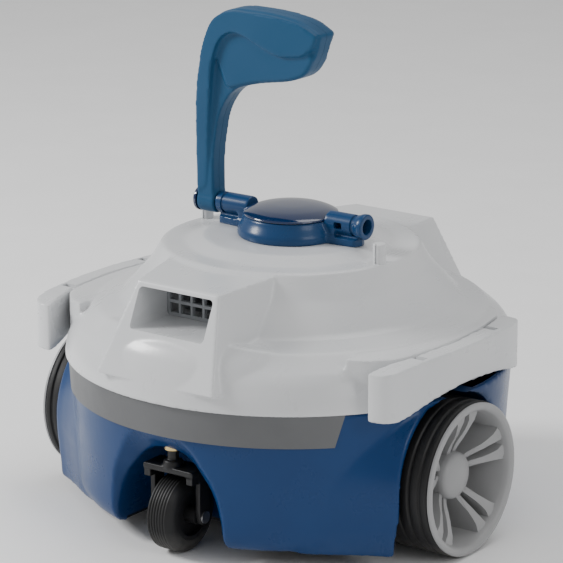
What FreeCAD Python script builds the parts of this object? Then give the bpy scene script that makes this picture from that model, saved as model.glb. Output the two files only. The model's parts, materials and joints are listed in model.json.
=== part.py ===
"""Cordless pool-floor cleaning robot: dome cover, bowl shell, two drive-less side wheels, two casters and a
floating swing handle.

Millimetres. +Z is up, the front nozzle faces -Y and the side wheels stand on the X axis sides. The origin
is on the ground, under the axis of the dome and its turret. Each function makes one sub-part, and SUB_PARTS
at the end names the nodes.
"""

import FreeCAD
import Part
import math
import os

V = FreeCAD.Vector
X_AXIS, Y_AXIS, Z_AXIS = V(1, 0, 0), V(0, 1, 0), V(0, 0, 1)
SIDES = {"right": 1, "left": -1}
ENDS = {"front": -1, "rear": 1}

# ---- clearances and walls ----
RUNNING = 0.05          # radial play of a shaft in its bush
SEAT_GAP = 0.3          # between pieces that sit next to each other
COVER_WALL = 3.0
SHELL_WALL = 3.0
SCREW_R = 1.6
SCREW_HEAD_R = 3.0

# ---- dome cover ----
RIM_R = 158.0           # outer radius of the dome at its lower edge
RIM_Z = 111.0           # height of the dome's lower edge
TABLE_R = 58.0          # flat table round the turret
TABLE_Z = 193.5
STEP_R = 73.0           # foot of the slope below the table
STEP_Z = 188.5
PLATEAU_R = 90.5        # outer edge of the peg plateau
CONE_TOP_R = 100.0
CONE_TOP_Z = 174.0
LEDGE_IN_R = 118.0
LEDGE_IN_Z = 152.5
LEDGE_OUT_R = 134.0
LEDGE_OUT_Z = 147.5
SKIRT_R = 156.5         # skirt just above the lower edge
SKIRT_Z = 121.0
PROFILE_ROUND = 5.0

# ---- lower shell ----
SHELL_TOP_Z = RIM_Z - SEAT_GAP
SHELL_TOP_R = 154.5
SHELL_BOTTOM_Z = 11.0
SHELL_FOOT_R = 149.5
FOOT_CHAMFER = 6.0
FLANGE_IN_R = 136.0
BAND_LOW_Z = 88.0
BAND_T = 2.4
BAND_PROUD = 0.8
BAND_HALF_ANGLE = 47.0
LIP_TIP_X = 146.0       # the flared front lip of a wheel arch
LIP_TOP_Z = 104.0
LIP_ROOT_X = 112.0
LIP_RUN = 24.0

# ---- nozzles ----
NOZZLE_HALF_W = 31.0    # half width of the duct mouth
NOZZLE_FLOOR_Z = 153.5
NOZZLE_ROOF_Z = 180.5
HOOD_BACK_Y = 82.0
HOOD_FRONT_Y = 127.0
HOOD_BACK_HALF_W = 48.0
HOOD_FRONT_HALF_W = 35.0
HOOD_BACK_Z = 187.0
HOOD_FRONT_Z = 184.0
HOOD_DEPTH = 46.0       # the hood block runs this far down into the dome
HOOD_FOOT_OUT = 14.0    # its foot stands this far outside its roof
HOOD_ROUND = 4.0
APRON_HALF_W = 40.0
APRON_EDGE_Y = 140.0
GRILLE_Y = 100.0
GRILLE_T = 3.0
MANIFOLD_WALL = 2.0
MANIFOLD_END_Y = 82.0
RISER_R = 27.0          # pump riser that feeds the manifold

# ---- wheels ----
WHEEL_R = 53.5
AXLE_Y = -21.0
AXLE_Z = WHEEL_R
WHEEL_FACE_X = 166.5
WHEEL_INNER_X = 117.0
WELL_INNER_X = 112.0
WELL_R = 57.5
VAULT_R = 66.0
VAULT_TOP_Z = AXLE_Z + VAULT_R
TYRE_T = 4.0
TYRE_SHOULDER = 3.0
RIM_WALL = 3.5
HUB_BOSS_R = 15.0
HUB_FACE_X = 156.0
SPOKE_COUNT = 10
SPOKE_T = 3.2
AXLE_R = 6.0
BUSH_T = 2.0
BUSH_L = 10.0

# ---- casters ----
CASTER_Y = 134.0
CASTER_TRAIL = 7.0
CASTER_WHEEL_R = 27.0
CASTER_WHEEL_W = 22.0
CASTER_SHOULDER = 6.0
CASTER_TYRE_T = 3.0
CASTER_AXLE_R = 3.0
CASTER_CORE_HALF_W = 16.5
FORK_INNER_HALF_W = CASTER_CORE_HALF_W + 0.5
FORK_T = 4.0
FORK_LEG_HALF_L = 5.0
FORK_CROWN_Z = 57.5
FORK_CROWN_T = 4.5
STEM_R = 4.0
WELL_CROWN_Z = 75.0
CASTER_WELL_HALF_W = 45.0
CASTER_WELL_SHOULDER_HALF_W = 37.0
CASTER_WELL_SHOULDER_Z = 52.0
CASTER_WELL_BACK_Y = 95.0
STEM_BOSS_R = 9.0
STEM_BOSS_T = 7.0

# ---- side latches ----
LATCH_MID_X = 160.0
LATCH_END_X = 148.0
LATCH_FRONT_Y = -100.0
LATCH_REAR_Y = 62.0
LATCH_T = 12.0
LATCH_WALL = 3.0
LATCH_TOP_Z = 146.0
LATCH_MID_LOW_Z = 121.0
LATCH_END_LOW_Z = SHELL_TOP_Z + 0.8
LATCH_SWING_GAP = 0.4     # between the swinging foot and the shell's rim
LATCH_EDGE_ROUND = 4.0
LATCH_CORNER_ROUND = 9.0
LATCH_FOOT_L = 14.0     # length of the solid foot at each end of the bar
LATCH_SLIT = 1.5        # between the latch and the cover beside it
LATCH_PIVOT_X = 151.0
LATCH_PIVOT_Z = LATCH_TOP_Z - LATCH_EDGE_ROUND
LATCH_PIN_R = 1.4
LATCH_EAR_R = 2.5
LATCH_EAR_YS = (-62.0, 24.0)
LATCH_EAR_T = 5.0
LATCH_CHEEK_T = 4.0

# ---- turret and handle ----
TURRET_FOOT_R = 37.0
TURRET_TOP_R = 32.5
TURRET_FOOT_Z = TABLE_Z + SEAT_GAP
TURRET_TOP_Z = 208.5
TURRET_WALL = 2.5
TURRET_CROWN = 7.0
CAP_SEAT = 0.1
SPINDLE_R = 9.0
BARREL_Z = 208.0
BARREL_R = 7.5
BARREL_IN_X = 36.0
BARREL_OUT_X = 61.0
BARREL_END_T = 4.0
BARREL_END_R = 9.0
BARREL_SOCKET_R = 5.2
PIVOT_R = 4.0
ARM_IN_X = BARREL_OUT_X + SEAT_GAP
ARM_OUT_X = 76.5
ARM_FOOT_R = 8.6
ARM_HALF_T = 8.0
FLOAT_HALF_T = 14.0
HANDLE_TOP_Z = 349.0
HEAD_LOW_Z = 296.0
HEAD_TIP_X = 31.0
HANDLE_WALL = 2.5
PEG_RING_R = 85.0
PEG_ANGLE = -9.6        # the right peg's angle from +X; the left one stands opposite
PEG_R = 4.5
PEG_TOP_Z = 203.0
PEG_SPIGOT_R = 3.0

# ---- insides ----
PAN_T = 3.0
SLOT_HALF_L = 60.0
SLOT_HALF_W = 12.0
SLOT_Y = 6.0
TRAY_HALF_X = 92.0
TRAY_HALF_Y = 84.0
TRAY_WALL = 2.5
TRAY_LOW_Z = SHELL_BOTTOM_Z + PAN_T + 1.5
TRAY_TOP_Z = 60.0
SCREEN_T = 3.0
CHIMNEY_H = 16.0
FLAP_ROD_R = 1.6
FLAP_ROD_RISE = 2.2
POD_HALF_X = 74.0
POD_HALF_Y = 44.0
POD_LOW_Z = TRAY_TOP_Z + SCREEN_T + 6.0
POD_TOP_Z = 119.0
POD_WALL = 3.0
POD_LID_T = 4.0
MOTOR_R = 18.0
MOTOR_H = 38.0
CELL_R = 9.2
CELL_L = 65.0
IMPELLER_R = 24.0
IMPELLER_H = 12.0
IMPELLER_Z = 129.0
BLADE_COUNT = 6
MOTOR_SHAFT_R = 3.0
PANEL_HALF_W = 42.0
PANEL_LOW_Z = 85.5
PANEL_TOP_Z = 107.5
PANEL_FACE_Y = 151.0
PANEL_T = 6.0
PANEL_MID_Z = (PANEL_LOW_Z + PANEL_TOP_Z) / 2
BUTTON_X = 22.0
BUTTON_R = 8.0
BUTTON_TRAVEL = 2.5
SOCKET_X = -22.0
SOCKET_R = 4.0
SOCKET_OUT_R = 6.5
SOCKET_L = 12.0
FLAP_R = 9.0
FLAP_T = 2.4


# ---- small helpers ----
def cylinder(radius, length, start, axis):
    """A round bar from start along axis."""
    return Part.makeCylinder(radius, length, start, axis)


def ring(outer, inner, length, start, axis):
    """A tube from start along axis."""
    return cylinder(outer, length, start, axis).cut(cylinder(inner, length, start, axis))


def block(x0, x1, y0, y1, z0, z1):
    """A box between two corners."""
    return Part.makeBox(x1 - x0, y1 - y0, z1 - z0, V(x0, y0, z0))


def joined(first, *others):
    """The union of several solids, with its seams removed."""
    shape = first.fuse(list(others)) if others else first
    return shape.removeSplitter()


def without(shape, *tools):
    """shape less each tool."""
    for tool in tools:
        shape = shape.cut(tool)
    return shape


def mirrored_x(shape, side):
    """shape as it is on the right (+1), or mirrored to the left (-1)."""
    return shape if side > 0 else shape.mirror(V(0, 0, 0), X_AXIS)


def turned_end(shape, end):
    """A shape made for the front (-1), or turned half a turn about Z to the rear (+1)."""
    if end < 0:
        return shape
    copy = shape.copy()
    copy.rotate(V(0, 0, 0), Z_AXIS, 180)
    return copy


def rounded_wire(points, radii, closed=True):
    """A wire through points with each corner replaced by a tangent arc of its radius (0 keeps it sharp)."""
    count = len(points)
    entries, exits, edges = [], [], []
    for i, point in enumerate(points):
        radius = radii[i]
        if radius <= 0 or (not closed and i in (0, count - 1)):
            entries.append(point)
            exits.append(point)
            continue
        back = (points[i - 1] - point).normalize()
        ahead = (points[(i + 1) % count] - point).normalize()
        half = back.getAngle(ahead) / 2
        reach = radius / math.tan(half)
        entries.append(point + back * reach)
        exits.append(point + ahead * reach)
    for i, point in enumerate(points):
        if (exits[i] - entries[i]).Length > 1e-6:
            back = (points[i - 1] - point).normalize()
            ahead = (points[(i + 1) % count] - point).normalize()
            half = back.getAngle(ahead) / 2
            bisector = (back + ahead).normalize()
            middle = point + bisector * (radii[i] / math.sin(half) - radii[i])
            edges.append(Part.Arc(entries[i], middle, exits[i]).toShape())
        if i == count - 1 and not closed:
            break
        nxt = entries[(i + 1) % count]
        if (nxt - exits[i]).Length > 1e-6:
            edges.append(Part.LineSegment(exits[i], nxt).toShape())
    return Part.Wire(Part.__sortEdges__(edges))


def spun(outline):
    """A solid of revolution about Z from a list of (radius, height, corner round)."""
    points = [V(r, 0, z) for r, z, _ in outline]
    wire = rounded_wire(points, [c for _, _, c in outline])
    return Part.Face(wire).revolve(V(0, 0, 0), Z_AXIS, 360)


def prism(points, radii, direction):
    """A closed outline pushed along direction."""
    return Part.Face(rounded_wire(points, radii)).extrude(direction)


def hood_block(shrink=0.0):
    """The front nozzle's hood: a block with a tapering roof and flared, planar sides."""
    slope = HOOD_FOOT_OUT / HOOD_DEPTH
    run = HOOD_FRONT_Y - HOOD_BACK_Y
    taper = (HOOD_BACK_HALF_W - HOOD_FRONT_HALF_W) / run
    fall = (HOOD_BACK_Z - HOOD_FRONT_Z) / run

    def quad(down):
        """The hood's four corners as a closed wire, lowered by down."""
        out = slope * down
        long = run + out
        half_back = HOOD_BACK_HALF_W + out - shrink
        half_front = half_back - taper * long
        z_back = HOOD_BACK_Z - down - shrink
        z_front = z_back - fall * long
        y_back, y_front = -HOOD_BACK_Y, -(HOOD_BACK_Y + long)
        corners = [V(-half_back, y_back, z_back), V(half_back, y_back, z_back),
                   V(half_front, y_front, z_front), V(-half_front, y_front, z_front)]
        return Part.makePolygon(corners + corners[:1])

    return Part.makeLoft([quad(HOOD_DEPTH), quad(0)], True, True)


def dome_outline(inset):
    """The dome's half section, moved inwards by inset."""
    tilt = inset * 0.6
    rounds = max(PROFILE_ROUND - inset, 1.0)
    return [
        (0, TABLE_Z - inset, 0),
        (TABLE_R - tilt * 0.3, TABLE_Z - inset, rounds),
        (STEP_R - tilt * 0.3, STEP_Z - inset, rounds),
        (PLATEAU_R - tilt, STEP_Z - inset, min(rounds, 3.0)),
        (CONE_TOP_R - inset, CONE_TOP_Z - tilt, rounds),
        (LEDGE_IN_R - inset, LEDGE_IN_Z - tilt, rounds),
        (LEDGE_OUT_R - tilt, LEDGE_OUT_Z - inset, 9.0),
        (SKIRT_R - inset, SKIRT_Z, 9.0),
        (RIM_R - inset, RIM_Z - (1.0 if inset else 0.0), 0),
        (0, RIM_Z - (1.0 if inset else 0.0), 0),
    ]


def latch_arc_x(y, face_x):
    """Where a latch face that is face_x at mid length lies at a given y."""
    mid_y = (LATCH_FRONT_Y + LATCH_REAR_Y) / 2
    half = (LATCH_REAR_Y - LATCH_FRONT_Y) / 2
    drop = LATCH_MID_X - LATCH_END_X
    radius = (half * half + drop * drop) / (2 * drop)
    return face_x - radius + math.sqrt(radius * radius - (y - mid_y) ** 2)


def latch_plan(inner_x, outer_x, front_y, rear_y):
    """A closed plan outline between two latch arcs."""
    mid_y = (LATCH_FRONT_Y + LATCH_REAR_Y) / 2
    corner = {(x, y): V(latch_arc_x(y, x), y, 0)
              for x in (inner_x, outer_x) for y in (front_y, mid_y, rear_y)}
    outer = Part.Arc(corner[outer_x, front_y], corner[outer_x, mid_y], corner[outer_x, rear_y]).toShape()
    inner = Part.Arc(corner[inner_x, rear_y], corner[inner_x, mid_y], corner[inner_x, front_y]).toShape()
    rear = Part.LineSegment(corner[outer_x, rear_y], corner[inner_x, rear_y]).toShape()
    front = Part.LineSegment(corner[inner_x, front_y], corner[outer_x, front_y]).toShape()
    return Part.Face(Part.Wire([outer, rear, inner, front]))


def vault(radius, inner_x):
    """The round-topped room over a side wheel, on the right, open downwards."""
    reach = RIM_R + 30
    top = cylinder(radius, reach - inner_x, V(inner_x, AXLE_Y, AXLE_Z), X_AXIS)
    legs = block(inner_x, reach, AXLE_Y - radius, AXLE_Y + radius, -5, AXLE_Z)
    return joined(top, legs)


def caster_room(grow=0.0):
    """The arched room round the front caster, open to the front and downwards."""
    half = CASTER_WELL_HALF_W + grow
    shoulder = CASTER_WELL_SHOULDER_HALF_W + grow
    crown_half = 14.0
    top = WELL_CROWN_Z + grow
    back_y = -(CASTER_WELL_BACK_Y - grow)
    reach = RIM_R + 20
    points = [V(-half, back_y, -5), V(half, back_y, -5), V(half, back_y, 24),
              V(shoulder, back_y, CASTER_WELL_SHOULDER_Z), V(crown_half, back_y, top),
              V(-crown_half, back_y, top), V(-shoulder, back_y, CASTER_WELL_SHOULDER_Z),
              V(-half, back_y, 24)]
    return prism(points, [0, 0, 20, 16, 14, 14, 16, 20], V(0, back_y + -reach - 2 * back_y, 0))


# ---- cover group ----
def cover_shoulder(face_x, inset):
    """Raised shoulder that carries the cover's ledge out to a latch, on the right."""
    plan = latch_plan(face_x - 40, face_x, LATCH_FRONT_Y + inset, LATCH_REAR_Y - inset)
    slab = plan.extrude(V(0, 0, LATCH_TOP_Z - inset - RIM_Z))
    slab.translate(V(0, 0, RIM_Z))
    return slab.common(cylinder(RIM_R - 3.0 - inset, 60, V(0, 0, RIM_Z - 1), Z_AXIS))


def beside_latch(face_x):
    """Everything outside the cover's face next to a latch, on the right."""
    margin = 2.0
    plan = latch_plan(face_x, face_x + 60, LATCH_FRONT_Y - margin, LATCH_REAR_Y + margin)
    slab = plan.extrude(V(0, 0, LATCH_TOP_Z + 4 - RIM_Z + 5))
    slab.translate(V(0, 0, RIM_Z - 5))
    return slab


def apron():
    """Front apron under a nozzle, from the duct's floor down to the cover's lower edge."""
    floor = NOZZLE_FLOOR_Z
    foot_y = math.sqrt(RIM_R ** 2 - APRON_HALF_W ** 2) - 1.0
    points = [V(-APRON_HALF_W, -90, RIM_Z + 8), V(-APRON_HALF_W, -foot_y, RIM_Z + 8),
              V(-APRON_HALF_W, -APRON_EDGE_Y - 4, floor - 8), V(-APRON_HALF_W, -APRON_EDGE_Y, floor),
              V(-APRON_HALF_W, -90, floor)]
    return prism(points, [0, 0, 12, 2, 0], V(2 * APRON_HALF_W, 0, 0))


def top_cover():
    """White dome with its two nozzle hoods, thin-walled, with ears for the latches."""
    outer = spun(dome_outline(0))
    inner = spun(dome_outline(COVER_WALL))
    hood = hood_block()
    roof_edges = [e for e in hood.Edges if e.BoundBox.ZMax > HOOD_FRONT_Z - 1]
    hood = hood.makeFillet(HOOD_ROUND, roof_edges)
    hood = hood.common(cylinder(RIM_R - 8, 200, V(0, 0, RIM_Z + 20), Z_AXIS))
    outer = joined(outer, hood, turned_end(hood, 1), apron(), turned_end(apron(), 1))
    gap = SEAT_GAP
    room_x = WELL_INNER_X - SHELL_WALL - gap
    for side in SIDES.values():
        face = LATCH_MID_X - LATCH_T - LATCH_SLIT
        wheel_room = mirrored_x(vault(VAULT_R + gap, room_x), side)
        thick_room = mirrored_x(vault(VAULT_R + gap + COVER_WALL, room_x - COVER_WALL), side)
        outer = outer.fuse(mirrored_x(cover_shoulder(face, 0), side))
        inner = inner.fuse(mirrored_x(cover_shoulder(face - COVER_WALL, COVER_WALL), side))
        outer = without(outer, wheel_room, mirrored_x(beside_latch(face), side))
        inner = without(inner, thick_room, mirrored_x(beside_latch(face - COVER_WALL), side))
    duct = block(-NOZZLE_HALF_W, NOZZLE_HALF_W, -RIM_R - 5, RIM_R + 5, NOZZLE_FLOOR_Z, NOZZLE_ROOF_Z)
    duct = duct.makeFillet(3.0, [e for e in duct.Edges if e.BoundBox.YLength > 100])
    lining = block(-NOZZLE_HALF_W - MANIFOLD_WALL, NOZZLE_HALF_W + MANIFOLD_WALL, -HOOD_FRONT_Y,
                   -MANIFOLD_END_Y - SEAT_GAP,
                   NOZZLE_FLOOR_Z - MANIFOLD_WALL, NOZZLE_ROOF_Z + MANIFOLD_WALL)
    cover = outer.cut(inner)
    cover = joined(cover, lining.common(outer), turned_end(lining, 1).common(outer))
    cover = without(cover, duct)
    spigot_hole = SPINDLE_R + SEAT_GAP
    cover = without(cover, cylinder(spigot_hole, 20, V(0, 0, TABLE_Z - 10), Z_AXIS))
    for peg in peg_places():
        cover = without(cover, cylinder(PEG_SPIGOT_R + RUNNING, 10, V(peg.x, peg.y, STEP_Z - 6), Z_AXIS))
    for side in SIDES.values():
        for y in LATCH_EAR_YS:
            root = block(130, LATCH_PIVOT_X, y - LATCH_EAR_T / 2, y + LATCH_EAR_T / 2,
                         LATCH_PIVOT_Z - LATCH_EAR_R, LATCH_PIVOT_Z + LATCH_EAR_R)
            eye_foot = V(LATCH_PIVOT_X, y - LATCH_EAR_T / 2, LATCH_PIVOT_Z)
            eye = cylinder(LATCH_EAR_R, LATCH_EAR_T, eye_foot, Y_AXIS)
            hole = cylinder(LATCH_PIN_R, 20, V(LATCH_PIVOT_X, y - 10, LATCH_PIVOT_Z), Y_AXIS)
            ear = without(joined(root, eye), inner, hole)
            cover = joined(cover, mirrored_x(ear, side))
    return cover


def nozzle_grilles():
    """Both nozzle grilles, front and rear."""
    return Part.makeCompound([nozzle_grille(end) for end in ENDS.values()])


def nozzle_grille(end):
    """Barred frame that stops hands and toys entering the duct."""
    half, low, high = NOZZLE_HALF_W - SEAT_GAP, NOZZLE_FLOOR_Z + SEAT_GAP, NOZZLE_ROOF_Z - SEAT_GAP
    y = -GRILLE_Y
    frame = block(-half, half, y, y + GRILLE_T, low, high)
    frame = frame.makeFillet(2.7, [e for e in frame.Edges if e.BoundBox.YLength > 1])
    window = block(-half + 2.5, half - 2.5, y - 1, y + GRILLE_T + 1, low + 2.5, high - 2.5)
    bars = [block(x - 0.9, x + 0.9, y, y + GRILLE_T, low + 1, high - 1) for x in (-20, -10, 0, 10, 20)]
    rail_z = (low + high) / 2 - 3
    bars.append(block(-half + 1, half - 1, y, y + GRILLE_T, rail_z - 1.1, rail_z + 1.1))
    return turned_end(joined(frame.cut(window), *bars), end)


def manifold():
    """Rectangular flow box under the cover, fed from below, open to both nozzles."""
    out, inside = NOZZLE_HALF_W + MANIFOLD_WALL, NOZZLE_HALF_W
    length = MANIFOLD_END_Y
    low, high = NOZZLE_FLOOR_Z - MANIFOLD_WALL, NOZZLE_ROOF_Z + MANIFOLD_WALL
    box = block(-out, out, -length, length, low, high)
    hollow = block(-inside, inside, -length - 1, length + 1, NOZZLE_FLOOR_Z, NOZZLE_ROOF_Z)
    inlet = cylinder(RISER_R, 20, V(0, 0, low - 10), Z_AXIS)
    hinge_holes = cylinder(1.5 + RUNNING, 2 * out + 2, V(-out - 1, 0, NOZZLE_ROOF_Z - 5), X_AXIS)
    return without(box, hollow, inlet, hinge_holes)


def diverter_flap():
    """Hanging flap that shuts one duct while the other blows, with its own round hinge bar."""
    z = NOZZLE_ROOF_Z - 5
    half = NOZZLE_HALF_W - 1.0
    leaf = block(-half, half, -1, 1, NOZZLE_FLOOR_Z + 3.5, z)
    bar = cylinder(1.5, 2 * (NOZZLE_HALF_W + MANIFOLD_WALL), V(-NOZZLE_HALF_W - MANIFOLD_WALL, 0, z), X_AXIS)
    sleeve = cylinder(2.6, 2 * half, V(-half, 0, z), X_AXIS)
    return joined(leaf, sleeve, bar)


def peg_places():
    """Centres of the two stop pegs."""
    angle = math.radians(PEG_ANGLE)
    x, y = PEG_RING_R * math.cos(angle), PEG_RING_R * math.sin(angle)
    return [V(x, y, 0), V(-x, -y, 0)]


def stop_pegs():
    """Two white pegs that limit how far the turret turns, each grooved down its sides."""
    pegs = []
    for place in peg_places():
        head = cylinder(PEG_R, PEG_TOP_Z - STEP_Z, V(place.x, place.y, STEP_Z), Z_AXIS)
        head = head.makeFillet(0.8, [e for e in head.Edges if e.BoundBox.ZMin > PEG_TOP_Z - 0.5])
        groove = block(place.x - 0.7, place.x + 0.7, place.y - PEG_R - 1, place.y - PEG_R + 1.2,
                       STEP_Z, PEG_TOP_Z + 1)
        spigot = cylinder(PEG_SPIGOT_R, 6, V(place.x, place.y, STEP_Z - 5), Z_AXIS)
        pegs.append(joined(head.cut(groove), spigot))
    return Part.makeCompound(pegs)


def latch_side_outline():
    """The latch's outline seen from the side: rounded ends that droop, and an arched underside."""
    mid_y = (LATCH_FRONT_Y + LATCH_REAR_Y) / 2
    half = (LATCH_REAR_Y - LATCH_FRONT_Y) / 2 - LATCH_FOOT_L
    rise = LATCH_MID_LOW_Z - LATCH_END_LOW_Z
    arch_r = (half * half + rise * rise) / (2 * rise)
    points = [V(130, LATCH_FRONT_Y, LATCH_END_LOW_Z), V(130, LATCH_REAR_Y, LATCH_END_LOW_Z),
              V(130, LATCH_REAR_Y, LATCH_TOP_Z), V(130, LATCH_FRONT_Y, LATCH_TOP_Z)]
    outline = prism(points, [7, 6, 10, 10], V(60, 0, 0))
    return outline.cut(cylinder(arch_r, 60, V(130, mid_y, LATCH_MID_LOW_Z - arch_r), X_AXIS))


def latch_swing_room():
    """What the latch's inner foot gives up so that it swings clear of the shell's rim."""
    reach = LATCH_PIVOT_Z - SHELL_TOP_Z - LATCH_SWING_GAP
    length = LATCH_REAR_Y - LATCH_FRONT_Y
    inner = block(LATCH_PIVOT_X - 30, LATCH_PIVOT_X, LATCH_FRONT_Y - 1, LATCH_REAR_Y + 1,
                  SHELL_TOP_Z - 5, LATCH_PIVOT_Z)
    swept = cylinder(reach, length + 4, V(LATCH_PIVOT_X, LATCH_FRONT_Y - 2, LATCH_PIVOT_Z), Y_AXIS)
    return inner.cut(swept)


def side_latch(side):
    """White hollow bar over a side wheel that swings up to free the cover."""
    height = LATCH_TOP_Z - LATCH_END_LOW_Z
    plan = latch_plan(LATCH_MID_X - LATCH_T, LATCH_MID_X, LATCH_FRONT_Y, LATCH_REAR_Y)
    bar = plan.extrude(V(0, 0, height))
    bar.translate(V(0, 0, LATCH_END_LOW_Z))
    ends = [e for e in bar.Edges if e.BoundBox.ZLength > 30 and e.BoundBox.XMax > LATCH_END_X - 1]
    bar = bar.makeFillet(LATCH_CORNER_ROUND, ends)
    inner_top = [e for e in bar.Edges if e.BoundBox.ZMin > LATCH_TOP_Z - 0.01 and e.BoundBox.YLength > 100
                 and e.BoundBox.XMax < LATCH_MID_X - LATCH_T + 1]
    bar = bar.makeFillet(LATCH_EDGE_ROUND, inner_top)
    bar = bar.common(latch_side_outline()).cut(latch_swing_room())
    wall = LATCH_WALL
    pocket = latch_plan(LATCH_MID_X - LATCH_T - 2, LATCH_MID_X - wall, LATCH_FRONT_Y + LATCH_FOOT_L,
                        LATCH_REAR_Y - LATCH_FOOT_L)
    pocket = pocket.extrude(V(0, 0, LATCH_PIVOT_Z - LATCH_EAR_R - 4 - LATCH_END_LOW_Z))
    pocket.translate(V(0, 0, LATCH_END_LOW_Z))
    bar = bar.cut(pocket)
    for y in LATCH_EAR_YS:
        room_y = LATCH_EAR_T / 2 + SEAT_GAP
        room_r = LATCH_EAR_R + SEAT_GAP
        room = block(LATCH_PIVOT_X - 14, LATCH_PIVOT_X + room_r, y - room_y, y + room_y,
                     LATCH_PIVOT_Z - room_r, LATCH_TOP_Z + 2)
        pin_y = y - latch_pin_length() / 2
        bar = without(bar, room, cylinder(LATCH_PIN_R + RUNNING, latch_pin_length(),
                                          V(LATCH_PIVOT_X, pin_y, LATCH_PIVOT_Z), Y_AXIS))
    return mirrored_x(bar, side)


def latch_pin_length():
    """Length of a latch pin: the ear and a cheek each side of it."""
    return LATCH_EAR_T + 2 * (SEAT_GAP + LATCH_CHEEK_T)


def latch_pins():
    """Four short steel pins pressed in the cover's ears, two to a latch."""
    length = latch_pin_length() - 1.0
    pins = [cylinder(LATCH_PIN_R, length, V(side * LATCH_PIVOT_X, y - length / 2, LATCH_PIVOT_Z), Y_AXIS)
            for side in SIDES.values() for y in LATCH_EAR_YS]
    return Part.makeCompound(pins)


# ---- turret and handle ----
def turret_body():
    """Blue turntable ring with its two lug arms and fixed barrels."""
    outline = [(0, TURRET_FOOT_Z, 0), (TURRET_FOOT_R, TURRET_FOOT_Z, 0.8),
               (TURRET_FOOT_R, TURRET_FOOT_Z + 5, 3),
               (TURRET_TOP_R, TURRET_TOP_Z - 2, 2), (TURRET_TOP_R, TURRET_TOP_Z, 0), (0, TURRET_TOP_Z, 0)]
    shell = spun(outline)
    floor_z = TURRET_FOOT_Z + 3
    inside = cylinder(TURRET_TOP_R - TURRET_WALL, 30, V(0, 0, floor_z), Z_AXIS)
    lugs = []
    root_x = TURRET_TOP_R - 1
    for side in SIDES.values():
        barrel = cylinder(BARREL_R, BARREL_OUT_X - BARREL_IN_X, V(BARREL_IN_X, 0, BARREL_Z), X_AXIS)
        arm = block(root_x, BARREL_OUT_X - 1, -6.0, 6.0, TURRET_FOOT_Z, TURRET_FOOT_Z + 3)
        web = block(root_x, BARREL_OUT_X - 1, -3.0, 3.0, TURRET_FOOT_Z, BARREL_Z - 2)
        neck = block(root_x, BARREL_IN_X + 4, -6.5, 6.5, TURRET_FOOT_Z, BARREL_Z)
        lug = joined(barrel, arm, web, neck)
        if side > 0:
            flange = cylinder(BARREL_END_R, BARREL_END_T, V(BARREL_OUT_X - 1, 0, BARREL_Z), X_AXIS)
            socket = cylinder(BARREL_SOCKET_R, 14, V(BARREL_OUT_X + BARREL_END_T - 13, 0, BARREL_Z), X_AXIS)
            lug = joined(lug, flange).cut(socket)
        else:
            lug = lug.cut(cylinder(PIVOT_R, 60, V(BARREL_IN_X + 3, 0, BARREL_Z), X_AXIS))
        lugs.append(mirrored_x(lug, side))
    spindle = cylinder(SPINDLE_R, TURRET_FOOT_Z + 1 - spindle_foot_z(), V(0, 0, spindle_foot_z()), Z_AXIS)
    body = joined(shell.cut(inside), *lugs, spindle)
    return without(body, inside, cylinder(SCREW_R, 30, V(0, 0, TURRET_FOOT_Z - 15), Z_AXIS))


def spindle_foot_z():
    """Lower end of the turret's spindle, just under the cover's table."""
    return TABLE_Z - COVER_WALL - SEAT_GAP


def turret_cap():
    """Glossy domed lid that closes the turntable."""
    rim, base = TURRET_TOP_R - 0.2, TURRET_TOP_Z + CAP_SEAT
    edge_h = 1.0
    rise = TURRET_CROWN - CAP_SEAT - edge_h
    dome_r = (rim * rim + rise * rise) / (2 * rise)
    dome = Part.makeSphere(dome_r, V(0, 0, base + edge_h + rise - dome_r), Z_AXIS)
    disc = cylinder(rim, TURRET_CROWN, V(0, 0, base), Z_AXIS).common(dome)
    plug = cylinder(TURRET_TOP_R - TURRET_WALL - SEAT_GAP, 4, V(0, 0, base - 3), Z_AXIS)
    return joined(disc, plug)


def turret_screw():
    """Screw and broad washer that hold the turntable down on the cover."""
    top = TURRET_FOOT_Z + 3
    washer_t = 1.5
    head = cylinder(SCREW_HEAD_R, 2, V(0, 0, top), Z_AXIS)
    tail_z = spindle_foot_z() - washer_t - 1
    shank = cylinder(SCREW_R, top - tail_z, V(0, 0, tail_z), Z_AXIS)
    washer = cylinder(SPINDLE_R + 4, washer_t, V(0, 0, spindle_foot_z() - washer_t), Z_AXIS)
    return joined(head, shank, washer)


def handle_pivot():
    """Plastic pivot through the handle's foot, with the round end button outside it."""
    start_x = BARREL_IN_X + 3
    button_x = ARM_OUT_X + SEAT_GAP
    pin = cylinder(PIVOT_R, button_x + 1 - start_x, V(start_x, 0, BARREL_Z), X_AXIS)
    button = cylinder(BARREL_END_R, BARREL_END_T - SEAT_GAP, V(button_x, 0, BARREL_Z), X_AXIS)
    button = button.makeFillet(1.2, [e for e in button.Edges if e.BoundBox.XMin > button_x + 2])
    return mirrored_x(joined(pin, button), -1)


def handle_face():
    """Side outline of the whole handle: foot, arm and overhanging head, in the XZ plane."""
    foot_z = BARREL_Z
    points = [V(-ARM_OUT_X, 0, foot_z), V(-ARM_OUT_X + 0.5, 0, foot_z + 68), V(-63, 0, HANDLE_TOP_Z),
              V(0, 0, HANDLE_TOP_Z), V(HEAD_TIP_X, 0, HANDLE_TOP_Z - 11),
              V(HEAD_TIP_X - 11, 0, HEAD_LOW_Z + 9),
              V(-48, 0, HEAD_LOW_Z - 2), V(-ARM_IN_X - 1.5, 0, foot_z + 28), V(-ARM_IN_X, 0, foot_z)]
    return Part.Face(rounded_wire(points, [0, 80, 22, 60, 4, 14, 22, 60, 0]))


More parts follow.
